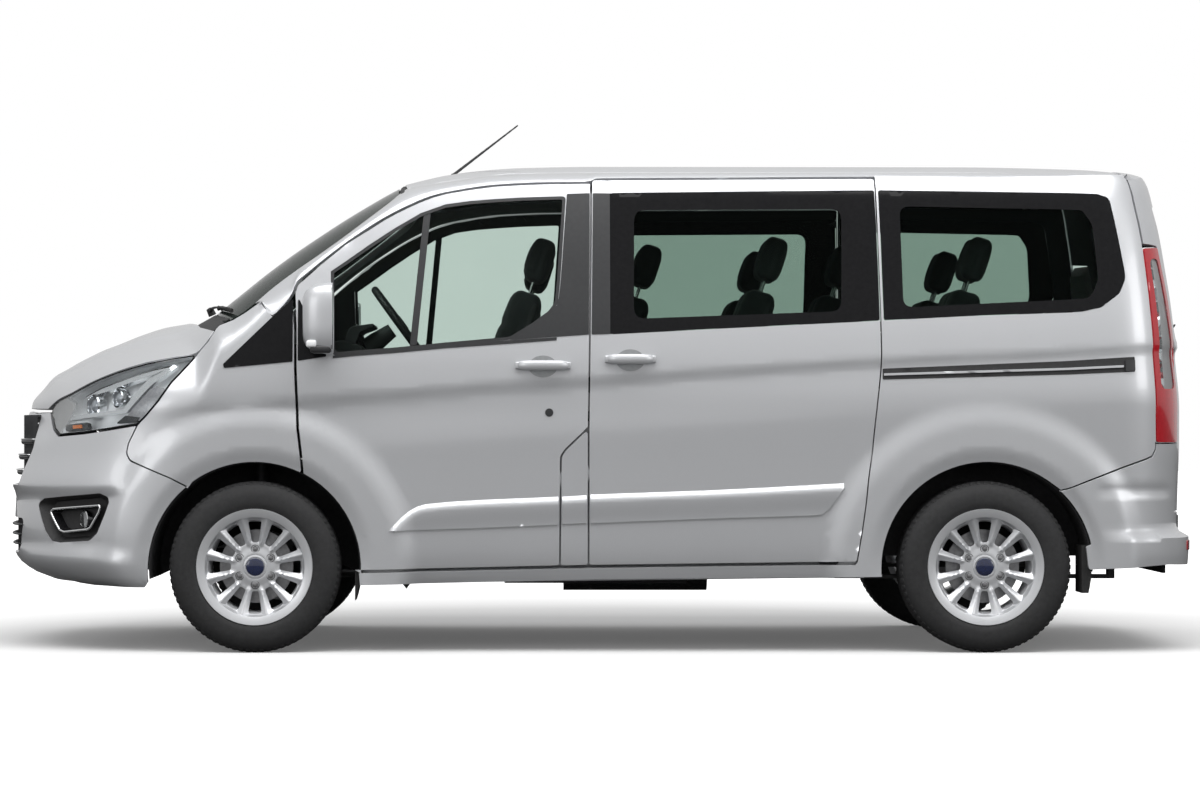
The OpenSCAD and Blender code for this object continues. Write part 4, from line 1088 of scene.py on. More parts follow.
# %% Front bumper
N = NOSE_MIDDLE
shut_line = [(1.702, 1.185), (1.807, 1.166), (1.861, 1.152), (1.915, 1.137), (1.97, 1.118),
    (2.026, 1.098), (2.082, 1.073), (2.14, 1.045), (2.2, 1.02), (2.225, 1.003), (2.242, 0.981)]
lamp_outline = [(1.6, 1.2, 0.01), *shut_line, (2.241, 0.967, 0.02), (2.216, 0.9, 0.03),
    (2.189, 0.872, 0.03), (2.072, 0.882), (1.962, 0.897), (1.84, 0.915, 0.012), (1.803, 0.95),
    (1.751, 1.01), (1.7, 1.085), (1.65, 1.14)]
fog_outline = [(2.285, 0.593, 0.03), (2.254, 0.615, 0.02), (1.995, 0.639, 0.02), (1.963, 0.624, 0.02),
    (1.957, 0.604, 0.02), (1.973, 0.559), (2.009, 0.478, 0.02), (2.042, 0.447, 0.03),
    (2.174, 0.437, 0.02), (2.215, 0.443, 0.02), (2.245, 0.483, 0.03)]
bumper_outline = (side([(1.794, 0.262, 0.01), (2.03, 0.262), (2.1, 0.268)]) + [(2.3, 0.276), (N, 0.278)] +
    front([(0, 0.385), (0.49, 0.385, 0.02), (0.56, 0.53, 0.03), (0, 0.535)]) + front([(0, 0.665),
    (0.47, 0.665, 0.03), (0.535, 0.82, 0.06), (0.5, 0.957, 0.02),
    (0, 0.957)]) + front([(0, 0.974), (0.44, 0.962)]) + side([(2.25, 0.966), (2.246, 0.963),
    (2.221, 0.896, 0.03), (2.192, 0.866, 0.03), (2.072, 0.876), (1.962, 0.891), (1.846, 0.9095),
    (1.8795, 0.84), (1.888, 0.8, 0.03), (1.872, 0.768, 0.03), (1.802, 0.741), (1.701, 0.698),
    (1.632, 0.66)]) + side(arch(FRONT_AXLE, 51.5, -8.0, 26)))


def bumper_relief(w, z, out=0.0):
    """The bumper's own relief: a ledge over the fog bezel, and a lower lip that stands out."""
    x = body_points(w, z)[:, 0]
    ledge = 0.01 * ease((z - 0.64) / 0.02) * (1 - ease((z - 0.66) / 0.14)) * ease((x - 1.88) / 0.06)
    lip = 0.01 * ease((0.4 - z) / 0.03) * ease((x - 1.83) / 0.1) * (1 - ease((x - 2.3) / 0.1))
    hollow = -0.012 * ease((z - 0.4) / 0.02) * (1 - ease((z - 0.62) / 0.02)) * ease((x - 1.9) / 0.1)
    return body_points(w, z, out + ledge + lip + hollow * 0.6)


bumper = body_panel("front_bumper_skin", bumper_outline, "body", holes=[side(fog_outline)],
    thickness=0.02, whole=True, surface=bumper_relief, inner=MATT_BLACK)
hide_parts("front_bumper")

# %% Grille
backing = body_panel("grille_backing", front([(0, 0.655), (0.5, 0.655), (0.56, 0.82), (0.53, 0.968),
    (0, 0.968)]), "body", MATT_BLACK, out=-0.045, step=0.04, thickness=0.006, slot="black_plastic",
    whole=True)
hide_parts("grille")
body_panel("lower_grille_backing", front([(0, 0.36), (0.52, 0.36), (0.6, 0.545), (0, 0.545)]), "body",
    MATT_BLACK, out=-0.045, step=0.04, thickness=0.006, slot="black_plastic", whole=True)


def nose_bar(name, z, reach, height, proud, material, slot, drop=0.0):
    """A bar across the nose, held a little proud of the surface, tapering to its ends."""
    ys = np.linspace(-reach, reach, 41)
    rings = []
    for y in ys:
        share = 1 - 0.35 * abs(y / reach) ** 2
        level = z - drop * abs(y / reach) ** 2
        spot = place_on(angle_at_y(abs(y), level), level)
        way = outwards(angle_at_y(abs(y), level), level)
        if y < 0:
            spot.y, way.y = -spot.y, -way.y
        ring = []
        for a in np.linspace(0, 2 * math.pi, 12, endpoint=False):
            c, s = math.cos(a), math.sin(a)
            deep = proud + (abs(c) ** 0.7) * (1 if c > 0 else -1) * 0.016
            ring.append(spot + way * deep + Vector((0, 0, s * height / 2 * share)))
        rings.append(ring)
    verts = [p for ring in rings for p in ring]
    faces = [(i * 12 + k, i * 12 + (k + 1) % 12, (i + 1) * 12 + (k + 1) % 12,
        (i + 1) * 12 + k) for i in range(40) for k in range(12)]
    faces += [tuple(range(12)), tuple(range(480, 492))]
    obj = make_object(name, verts, faces, material, "body", slot)
    return close_and_turn(obj)


for i, (z, reach) in enumerate([(0.912, 0.49), (0.846, 0.505), (0.782, 0.5), (0.718, 0.475)]):
    nose_bar(f"grille_bar_{i + 1}", z, reach, 0.028, -0.018, SATIN_BLACK, "black_plastic")
    nose_bar(f"grille_bright_{i + 1}", z + 0.01, reach - 0.01, 0.007, -0.0135, CHROME, "black_trim")
for i, (z, reach) in enumerate([(0.503, 0.535), (0.463, 0.515), (0.423, 0.495)]):
    nose_bar(f"lower_bar_{i + 1}", z, reach, 0.014, -0.012, SATIN_BLACK, "black_plastic")


# %% [markdown]
# The fine mesh behind the grille bars repeats upright ribs. Geometry Nodes sets one rib on each point
# of a line across the nose, because the count and pitch are then two plain inputs.

# %% Grille ribs with Geometry Nodes
def repeat_tree(name, material):
    """Sets a copy of a plate of the given size on each point of the carrier mesh."""
    tree = bpy.data.node_groups.new(name, "GeometryNodeTree")
    tree.interface.new_socket("Points", in_out="INPUT", socket_type="NodeSocketGeometry")
    tree.interface.new_socket("Size", in_out="INPUT", socket_type="NodeSocketVector")
    tree.interface.new_socket("Result", in_out="OUTPUT", socket_type="NodeSocketGeometry")
    n = Nodes(tree)
    given = n.add("NodeGroupInput")
    plate_mesh = n.add("GeometryNodeMeshCube", {"Size": given.outputs["Size"]})
    copies = n.add("GeometryNodeInstanceOnPoints", {"Points": given.outputs["Points"],
        "Instance": plate_mesh.outputs["Mesh"]})
    real = n.add("GeometryNodeRealizeInstances", {0: copies.outputs[0]})
    finished = n.add("GeometryNodeSetMaterial", {"Geometry": real.outputs[0], "Material": material})
    n.add("NodeGroupOutput", {0: finished.outputs[0]})
    return tree


def repeated(name, points, size, material, body, slot):
    """Runs the repeat tree on a carrier of points and keeps the result as a plain mesh."""
    obj = make_object(name, points, [], material, body, slot)
    tree = repeat_tree(name + "_tree", material)
    modifier = obj.modifiers.new("repeat", "NODES")
    modifier.node_group = tree
    for item in tree.interface.items_tree:
        if item.in_out == "INPUT" and item.name == "Size":
            modifier[item.identifier] = size
    return bake(obj)


def nose_points(z, reach, pitch, out):
    spots = []
    for y in np.arange(-reach, reach + 0.001, pitch):
        spot = place_on(angle_at_y(abs(y), z), z, out)
        spots.append(Vector((spot.x, -spot.y if y < 0 else spot.y, spot.z)))
    return spots


repeated("grille_ribs", nose_points(0.812, 0.48, 0.03, -0.03), (0.02, 0.004, 0.29), SATIN_BLACK, "body",
    "black_plastic")
repeated("lower_grille_ribs", nose_points(0.458, 0.5, 0.05, -0.03), (0.02, 0.004, 0.145), SATIN_BLACK,
    "body", "black_plastic")
print("nose pieces", len(PIECES))

# %% Fog lamp bezels
LEFT_ONLY = []


def keep_left(obj):
    LEFT_ONLY.append(obj)
    return obj


def left_panel(name, outline, *rest, **settings):
    """A panel whose outline is seen from the side, to be mirrored to the right."""
    return keep_left(body_panel(name, side(outline), *rest, **settings))


keep_left(well("fog_bezel_left", side(fog_outline), 0.045, "body", MATT_BLACK, "black_plastic",
    surface=bumper_relief, step=0.016, shrink=0.8, top=-0.002))
fog_inner = [(2.235, 0.56, 0.02), (2.222, 0.572, 0.012), (2.01, 0.59, 0.012), (2.006, 0.58, 0.012),
    (2.012, 0.56), (2.048, 0.5, 0.012), (2.062, 0.492, 0.012), (2.168, 0.48, 0.012), (2.19, 0.488, 0.02)]
ring_path = [bumper_relief(np.array([p[0]]), np.array([p[1]]), -0.016)[0] for p in
    resample(rounded(side(fog_inner)), 0.012)]
keep_left(tube("fog_bright_ring_left", ring_path, 0.0055, CHROME, "body", "black_trim", closed=True,
    segments=8))
keep_left(well("fog_pocket_left", side(shrunk(fog_inner, 0.003)), 0.05, "body", GLOSS_BLACK,
    "black_plastic", surface=bumper_relief, step=0.014, shrink=0.72, top=-0.016))
spot = Vector(bumper_relief(np.array([angle_at_x(2.085, 0.532)]), np.array([0.532]), -0.045)[0])
way = (outwards(angle_at_x(2.085, 0.532), 0.532) + Vector((0.9, 0, 0))).normalized()
keep_left(turned_part("fog_lamp_left", [(0, -0.01), (0.036, -0.01), (0.038, 0.012), (0.034, 0.014),
    (0.03, 0.004), (0, -0.002)], spot, way, CHROME, "body", "lamp_lens"))
keep_left(turned_part("fog_lens_left", [(0, 0.006), (0.032, 0.006), (0.032, 0.012), (0.02, 0.019),
    (0, 0.021)], spot, way, LENS, "body", "lamp_lens"))

# %% [markdown]
# ## Headlamps
# Behind the clear cover lies a bright housing with two round projectors, a light strip below them, a
# grey wing-shaped reflector towards the back and a small orange side reflector. The cover is a thin
# clear sheet that follows the body, so the parts behind it show at their real depth.

# %% Headlamp housing and cover
LAMP_GREY = finish("lamp_housing", (0.86, 0.87, 0.88), (0.93, 0.94, 0.95), 0.25)
LAMP_DARK = finish("lamp_dark", (0.05, 0.052, 0.055), (0.09, 0.092, 0.095), 0.25, Metallic=0.3)
lamp_gap = shrunk(lamp_outline, 0.006)
housing = keep_left(well("headlamp_housing_left", side(lamp_gap), 0.075, "body", LAMP_GREY, "lamp_lens",
    step=0.018, shrink=0.9, top=-0.005))
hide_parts("front_lamps")
left_panel("headlamp_cover_left", lamp_gap, "body", LENS, thickness=0.004, bevel=0, slot="lamp_lens",
    step=0.02)
seal_path = [body_points([p[0]], [p[1]], -0.004)[0] for p in
    resample(rounded(side(shrunk(lamp_outline, 0.004))), 0.02)]
keep_left(tube("headlamp_seal_left", seal_path, 0.0035, GLOSS_BLACK, "body", "black_trim", closed=True,
    segments=6))


def lamp_strip(name, points, out, thick, material, slot="lamp_lens"):
    """A raised shape inside the lamp, given by its outline."""
    return left_panel(name, points, "body", material, out=out, thickness=thick, bevel=0.0015, slot=slot,
        step=0.014)


def projector(name, x, z, radius):
    spot = place_on(angle_at_x(x, z), z, -0.055)
    way = Vector((0.78, 0.62, 0.04)).normalized()
    r = radius
    keep_left(turned_part(name + "_ring_left", [(r * 1.16, -0.02), (r * 1.2, 0.016), (r * 1.1, 0.022),
        (r * 0.96, 0.004), (r * 0.9, -0.02), (r * 1.16, -0.02)], spot, way, CHROME, "body", "lamp_lens"))
    keep_left(turned_part(name + "_lens_left", [(0, -0.02), (r * 0.9, -0.02), (r * 0.9, -0.004),
        (r * 0.75, 0.01), (r * 0.45, 0.019), (0, 0.023)], spot, way, LAMP_GLASS, "body", "lamp_lens"))


LAMP_GLASS = finish("projector_glass", (0.3, 0.32, 0.35), (0.62, 0.64, 0.67), 0.03, scale=18,
    Coat_Weight=1.0, Metallic=0.35)
projector("projector_outer", 2.064, 0.991, 0.04)
projector("projector_inner", 1.947, 1.021, 0.034)
lamp_strip("lamp_light_strip_left", [(2.205, 0.944, 0.01), (2.2, 0.928, 0.01), (1.9, 0.962), (1.79, 1.08),
    (1.69, 1.15), (1.705, 1.158), (1.81, 1.1), (1.915, 0.978)], -0.022, 0.02, CHROME)
lamp_strip("lamp_dark_band_left", [(2.196, 0.915, 0.01), (2.186, 0.89, 0.01), (2.075, 0.897, 0.006),
    (2.082, 0.925, 0.006)], -0.03, 0.02, LAMP_DARK)
lamp_strip("lamp_orange_left", [(2.15, 0.913), (2.148, 0.899), (2.105, 0.902), (2.108, 0.916)], -0.026,
    0.006, ORANGE_LENS)
lamp_strip("lamp_wing_reflector_left", [(1.905, 0.945), (1.845, 0.93, 0.01), (1.812, 0.962),
    (1.765, 1.02), (1.735, 1.062, 0.01), (1.775, 1.07), (1.8, 1.06)], -0.028, 0.02, STEEL)
lamp_strip("lamp_dark_corner_left", [(1.95, 0.918, 0.006), (1.858, 0.924, 0.006), (1.842, 0.945),
    (1.905, 0.952)], -0.024, 0.01, LAMP_DARK)
lamp_strip("lamp_upper_blade_left", [(2.12, 1.02, 0.006), (2.03, 1.066), (1.9, 1.105), (1.79, 1.14),
    (1.69, 1.16), (1.79, 1.12), (1.9, 1.085), (2.0, 1.05)], -0.03, 0.02, CHROME)
block("nose_shelf", (2.05, -0.2, 0.93), (2.262, 0.2, 0.981), MATT_BLACK, "body", "black_plastic",
    bevel=0.004)
print("headlamps", len(PIECES))

# %% [markdown]
# ## Tail: tailgate, lamps and bumper
# The tailgate hinges at the roof and reaches round to the corner above the lamps. Its skin follows
# the squarer tail surface, and its top edge is the line where that surface meets the roof, found by
# halving the interval until both heights agree.

# %% Tailgate
T = TAIL_MIDDLE


def top_of_tail(w):
    """Height at which the tail's surface meets the roof at w."""
    low, high = 1.86, 1.984
    for _ in range(24):
        z = (low + high) / 2
        x, y, _z = body_points([w], [z])[0]
        share = min(abs(y) / float(roof_edge_y(x)), 1.0)
        roof_z = float(roof_middle(x)) - (float(roof_middle(x)) - float(roof_edge_z(x))) * share**3.5
        low, high = (z, high) if z < roof_z else (low, z)
    return low


corner_w = angle_at_x(-2.155, 1.925)
top_edge = [(w, top_of_tail(w)) for w in np.linspace(corner_w, T, 26)]
ends = np.array([body_points([w], [z])[0] for w, z in top_edge])
print("tailgate top", ends[0].round(3), ends[-1].round(3))
gate_side = [(-2.218, 1.648), (-2.205, 1.728), (-2.184, 1.841), (-2.164, 1.91)]
gate_outline = (side(gate_side) + top_edge[:-1] + [(T, top_edge[-1][1]), (T, 1.83)] +
    back([(0.693, 1.81, 0.05), (0.713, 1.55), (0.713, 1.288, 0.05)]) + [(T, 1.288), (T, 0.565)] +
    back([(0.774, 0.565, 0.02), (0.774, 1.0), (0.774, 1.3), (0.774, 1.642, 0.015)]))


def gate_relief(w, z, out=0.0):
    """The tailgate's skin: a soft waist line and a sunk field for the plate."""
    y = np.abs(body_points(w, z)[:, 1])
    waist = 0.008 * ease((z - 1.2) / 0.03) * (1 - ease((z - 1.235) / 0.05))
    plate = -0.018 * ease((0.31 - y) / 0.02) * ease((z - 0.885) / 0.02) * (1 - ease((z - 1.055) / 0.02))
    return body_points(w, z, out + waist + plate)


gate = body_panel("tailgate_skin", gate_outline, "hatch", thickness=0.03, whole=True, surface=gate_relief,
    inner=CABIN_PALE)
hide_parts("tailgate")


def gate_header():
    """Closes the tailgate's top: short ribs curve from the roof's rear edge down to the skin."""
    skin = np.array([v.co for v in roof.data.vertices])
    low = np.concatenate([ends, ends[-2::-1] * [1, -1, 1]])
    verts = []
    for x, y, z in low:
        inside_y = np.clip(y, skin[:, 1].min(), skin[:, 1].max())
        near = skin[np.abs(skin[:, 1] - inside_y) < 0.03]
        rear = near[near[:, 0] < near[:, 0].min() + 0.012]
        start = np.array([rear[:, 0].min() - 0.006, y, rear[:, 2].max()])
        knee = np.array([start[0] + 0.62 * (x - start[0]), y, start[2] - 0.004])
        for t in np.linspace(0, 1, 9):
            verts.append((1 - t)**2 * start + 2 * t * (1 - t) * knee + t**2 * np.array([x, y, z]))
    index = np.arange(len(verts)).reshape(-1, 9)
    quads = np.stack([index[:-1, :-1], index[1:, :-1], index[1:, 1:], index[:-1, 1:]], -1)
    verts, quads = np.array(verts), quads.reshape(-1, 4)
    a, b, d = (verts[quads[:, i]] for i in (0, 1, 3))
    if np.cross(b - a, d - a)[:, 2].sum() < 0:
        quads = quads[:, ::-1]
    header = make_object("tailgate_header", verts, quads, PAINT, "hatch", "paint")
    print("tailgate header from x", verts[:, 0].max().round(3), "to", verts[:, 0].min().round(3))
    return thicken(header, 0.02, 0.002, CABIN_PALE)


gate_header()
plate = body_panel("rear_plate", back([(0, 0.912), (0.262, 0.912, 0.008), (0.262, 1.026, 0.008),
    (0, 1.026)]), "hatch", PLATE_WHITE, out=-0.009, thickness=0.003, bevel=0, slot="black_plastic",
    whole=True)
body_panel("plate_lamp_bar", back([(0, 1.072), (0.36, 1.072, 0.01), (0.36, 1.108, 0.01), (0, 1.108)]),
    "hatch", SATIN_BLACK, out=0.012, thickness=0.014, slot="black_plastic", whole=True)
rear_pane = body_panel("rear_window_pane", back([(0, 1.292), (0.709, 1.292, 0.05), (0.709, 1.55),
    (0.689, 1.806, 0.05), (0, 1.826)]), "hatch", DARK_GLASS, out=-0.004, thickness=0.005, bevel=0,
    slot="dark_glass", whole=True)
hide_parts("rear_window")
body_panel("rear_window_frit", back([(0, 1.292), (0.709, 1.292, 0.05), (0.709, 1.55),
    (0.689, 1.806, 0.05), (0, 1.826), (0, 1.775), (0.635, 1.762, 0.05), (0.65, 1.55),
    (0.655, 1.345, 0.05), (0, 1.345)]), "hatch", GLOSS_BLACK, out=-0.0095, thickness=0.003, bevel=0,
    slot="black_trim", whole=True)
pivot = place_on(T, 1.268, 0.012)
turned_part("rear_wiper_hub", [(0, 0), (0.022, 0), (0.02, 0.03), (0, 0.034)], pivot, (-1, 0, 0.1),
    MATT_BLACK, "hatch", "black_plastic")
arm = [pivot + Vector((-0.026, 0.004, 0.0)) + Vector((0.0015 * k, 0.034 * k, 0.006 * k)) for k in
    range(12)]
tube("rear_wiper_arm", arm, [0.009 - 0.0004 * k for k in range(12)], MATT_BLACK, "hatch", "black_plastic",
    flat=0.6)
body_panel("high_brake_lamp", back([(0, 1.868), (0.16, 1.868, 0.006), (0.16, 1.888, 0.006), (0, 1.888)]),
    "hatch", RED_LENS, out=0.006, thickness=0.008, bevel=0.001, slot="red_lens", whole=True)
print("tailgate pieces", len(PIECES))

# %% Tail lamps
tail_lamp = (side([(-2.216, 1.628, 0.012), (-2.237, 1.403), (-2.248, 1.252), (-2.255, 1.101),
    (-2.257, 0.93), (-2.259, 0.845, 0.012)]) + back([(0.782, 0.845, 0.012), (0.782, 1.0), (0.782, 1.3),
    (0.782, 1.634, 0.015)]))
lamp_body = keep_left(well("tail_lamp_housing_left", tail_lamp, 0.05, "body", LAMP_GREY, "red_lens",
    step=0.022, shrink=0.9, top=-0.004))
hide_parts("tail_lamps")
inner_clear = (side([(-2.24, 1.585, 0.03), (-2.262, 1.403), (-2.272, 1.252),
    (-2.28, 1.06, 0.03)]) + back([(0.812, 1.06, 0.03), (0.812, 1.25), (0.806, 1.59, 0.03)]))
keep_left(body_panel("tail_lamp_red_left", tail_lamp, "body", RED_LENS, holes=[inner_clear],
    thickness=0.01, bevel=0.002, slot="red_lens", step=0.018, out=0.004))
keep_left(body_panel("tail_lamp_clear_left", inner_clear, "body", LENS, thickness=0.006, bevel=0,
    slot="lamp_lens", step=0.02, out=0.003))
lamp_z = [1.5, 1.36, 1.22, 1.115]
for i, z in enumerate(lamp_z):
    middle_y = 0.862
    spot = place_on(angle_at_y(middle_y, z, -1), z, -0.032)
    way = outwards(angle_at_y(middle_y, z, -1), z)
    keep_left(turned_part(f"tail_lamp_bowl_{i + 1}_left", [(0, -0.012), (0.03, -0.008), (0.052, 0.01),
        (0.056, 0.01), (0.05, -0.018), (0, -0.018)], spot, way, CHROME, "body", "lamp_lens"))
    keep_left(turned_part(f"tail_lamp_bulb_{i + 1}_left", [(0, -0.01), (0.012, -0.01), (0.013, 0.012),
        (0.008, 0.022), (0, 0.024)], spot, way, RED_LENS if i != 2 else LENS, "body", "red_lens"))

# %% Rear bumper
rear_foot = arch(REAR_AXLE - 0.006, 167.0, 132.6, 14)
rear_outline = (side([(-1.976, 0.334, 0.02), (-1.966, 0.425)] + rear_foot + [(-1.862, 0.6475),
    (-2.216, 0.7745, 0.02), (-2.243, 0.786, 0.02), (-2.257, 0.816, 0.02),
    (-2.258, 0.8375)]) + back([(0.776, 0.8375), (0.776, 0.559), (0, 0.559), (0, 0.345),
    (0.7, 0.345)]) + side([(-2.3, 0.352), (-2.15, 0.342)]))


def rear_relief(w, z, out=0.0):
    """The rear bumper's step: a shelf above a fuller lower part, and a dent over the corner."""
    step_out = 0.016 * ease((0.482 - z) / 0.022)
    x = body_points(w, z)[:, 0]
    ahead = ease((-2.02 - x) / 0.14)
    dent = -0.006 * ease((z - 0.632) / 0.006) * (1 - ease((z - 0.64) / 0.045)) * ease((-2.0 - x) / 0.05)
    return body_points(w, z, out + step_out * ahead + dent * ease((x + 2.36) / 0.1))


rear_skin = body_panel("rear_bumper_skin", rear_outline, "body", thickness=0.022, whole=True,
    surface=rear_relief, inner=MATT_BLACK)
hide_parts("rear_bumper")
body_panel("rear_step_pad", back([(0, 0.49), (0.62, 0.49, 0.01), (0.62, 0.545, 0.01), (0, 0.545)]),
    "body", MATT_BLACK, out=0.006, thickness=0.008, slot="black_plastic", whole=True)
keep_left(body_panel("rear_reflector_left", back([(0.6, 0.405, 0.006), (0.74, 0.405, 0.006),
    (0.74, 0.445, 0.006), (0.6, 0.445, 0.006)]), "body", RED_LENS, out=0.02, thickness=0.006, bevel=0.001,
    slot="red_lens"))
print("tail pieces", len(PIECES))

# %% [markdown]
# ## Window glass
# Each side window is a thin tinted pane, flush with the body, inside a painted black border. The
# border hides the glue and the runner on the real vehicle. The front door's pane drops into a frame,
# so it has a slim rubber run around it and an upright divider near the front.

# %% Side windows
def right_body(body):
    return "door_right" if body == "door_left" else body


def pane(name, outline, body, material, slot, out=-0.004, amount=0.002, inner=()):
    return body_panel(name, side(shrunk(outline, amount)), body, material, holes=inner, out=out,
        thickness=0.005, bevel=0, slot=slot, step=0.04)


door_pane = pane("front_door_pane_left", window_outline, "door_left", CLEAR_GLASS, "clear_glass", -0.012)
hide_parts("front_window_left")
door_pane_right = mirrored(door_pane, "front_door_pane_right", "door_right")
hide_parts("front_window_right")
slide_pane = keep_left(pane("sliding_door_pane_left", slide_glass_outline, "body", DARK_GLASS,
    "dark_glass"))
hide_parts("side_windows")
keep_left(pane("quarter_pane_left", quarter_glass_outline, "body", DARK_GLASS, "dark_glass"))


def border(name, outline, hole, body, out=0.0004, material=None, amount=0.002):
    """The black border on a pane, between its edge and the clear part."""
    return left_panel(name, shrunk(outline, amount), body, material or GLOSS_BLACK, holes=[side(hole)],
        out=out, thickness=0.002, bevel=0, slot="black_trim", step=0.02)


border("sliding_door_border_left", slide_glass_outline, slide_clear, "body")
border("quarter_border_left", quarter_glass_outline, quarter_clear, "body")
border("front_door_seal_left", window_outline, shrunk(window_outline, 0.013), "door_left", -0.001,
    SATIN_BLACK, 0.0005)
left_panel("window_divider_left", [(0.661, 1.788), (0.689, 1.78), (0.744, 1.232), (0.716, 1.236)],
    "door_left", SATIN_BLACK, out=-0.004, thickness=0.012, bevel=0.002, slot="black_trim")
left_panel("pillar_cover_front_left", [(0.113, 1.848, 0.004), (0.021, 1.851, 0.004),
    (0.026, 1.277, 0.004), (0.156, 1.268), (0.35, 1.2545, 0.003), (0.251, 1.312), (0.181, 1.364),
    (0.154, 1.395), (0.147, 1.423), (0.138, 1.502)], "door_left", SATIN_BLACK, out=0.0028,
    thickness=0.003, bevel=0.001, slot="black_trim")
left_panel("pillar_cover_slide_left", [(-0.06, 1.279, 0.004), (-0.06, 1.85, 0.004), (0.008, 1.851, 0.004),
    (0.015, 1.277, 0.004)], "body", SATIN_BLACK, out=0.0028, thickness=0.003, bevel=0.001,
    slot="black_trim")
left_panel("pillar_strip_slide_left", [(-0.054, 1.279), (-0.054, 1.85), (-0.072, 1.85), (-0.072, 1.279)],
    "body", GLOSS_BLACK, out=0.0008, thickness=0.002, bevel=0, slot="black_trim")
left_panel("mirror_triangle_door_left", [(1.193, 1.43, 0.006), (1.076, 1.189, 0.006),
    (1.193, 1.171, 0.006)], "door_left", GLOSS_BLACK, out=0.0035, thickness=0.006, bevel=0.0015,
    slot="black_trim")
left_panel("mirror_triangle_wing_left", [(1.213, 1.422, 0.006), (1.301, 1.343), (1.492, 1.158, 0.008),
    (1.488, 1.142, 0.006), (1.213, 1.168, 0.006)], "body", GLOSS_BLACK, out=0.0035, thickness=0.006,
    bevel=0.0015, slot="black_trim")
left_panel("waist_seal_left", [(1.052, 1.192), (0.96, 1.2025), (0.8, 1.2145), (0.6, 1.2345),
    (0.345, 1.254), (0.155, 1.266), (0.155, 1.254), (0.345, 1.24), (0.6, 1.222), (0.8, 1.203),
    (0.96, 1.191), (1.052, 1.181)], "door_left", SATIN_BLACK, out=0.003, thickness=0.006, bevel=0.0015,
    slot="black_trim")


# %% [markdown]
# ## Side trim
# A body-coloured moulding runs along the lower doors. It is a wedge: its top edge stands out most.
# The sliding door hangs on a rail behind a slot, drawn here as a dark channel with a bright rail.

# %% Mouldings, track and locks
mould_top = smooth_line([(-1.01, 0.682), (-0.5, 0.655), (0.027, 0.635), (0.14, 0.628), (0.5, 0.612),
    (0.68, 0.597), (0.72, 0.585), (0.76, 0.56), (0.8, 0.52), (0.84, 0.48)])


def moulding_surface(w, z, out=0.0):
    below = mould_top(w) - z
    wedge = 0.012 * ease(below / 0.024) - 0.006 * ease((below - 0.03) / 0.09)
    return body_points(w, z, out + wedge)


mould_low = [(0.828, 0.489), (0.5, 0.5), (0.14, 0.515), (0.027, 0.52), (-0.5, 0.54), (-0.88, 0.552),
    (-0.9, 0.553), (-0.93, 0.57), (-0.96, 0.61), (-0.998, 0.665)]


def moulding(name, x0, x1, body):
    low = smooth_line(sorted(mould_low))
    top = [(x, float(mould_top(x)) - 0.001) for x in np.arange(x0, x1, 0.03)] + [(x1, float(mould_top(x1)))]
    bottom = [(x, float(low(x))) for x in np.arange(x1, x0, -0.03)] + [(x0, float(low(x0)))]
    return left_panel(name, top + bottom, body, thickness=0.014, bevel=0.002, step=0.012,
        surface=moulding_surface, out=0.001)


moulding("moulding_door_left", 0.148, 0.826, "door_left")
moulding("moulding_flap_left", 0.034, 0.134, "filler_flap")
moulding("moulding_slide_left", -0.996, 0.02, "body")
slot_left = left_panel("track_channel_left", [(-1.151, 1.096, 0.006), (-2.166, 1.128, 0.006),
    (-2.166, 1.188, 0.006), (-1.151, 1.14, 0.006)], "body", MATT_BLACK, out=0.002, thickness=0.006,
    bevel=0.001, slot="black_plastic")
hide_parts("door_tracks")
left_panel("track_rail_left", [(-1.156, 1.112, 0.002), (-2.118, 1.145, 0.002), (-2.118, 1.154, 0.002),
    (-1.156, 1.121, 0.002)], "body", PAINT, out=0.008, thickness=0.008, bevel=0.0015, slot="paint")
left_panel("track_end_left", [(-2.124, 1.13, 0.004), (-2.164, 1.132, 0.004), (-2.164, 1.176, 0.004),
    (-2.124, 1.174, 0.004)], "body", SATIN_BLACK, out=0.01, thickness=0.01, bevel=0.002,
    slot="black_trim")
keep_left(turned_part("door_lock_left", [(0, -0.002), (0.017, -0.002), (0.016, 0.0035), (0, 0.004)],
    place_on(0.185, 0.964), outwards(0.185, 0.964), SATIN_BLACK, "door_left", "black_trim"))


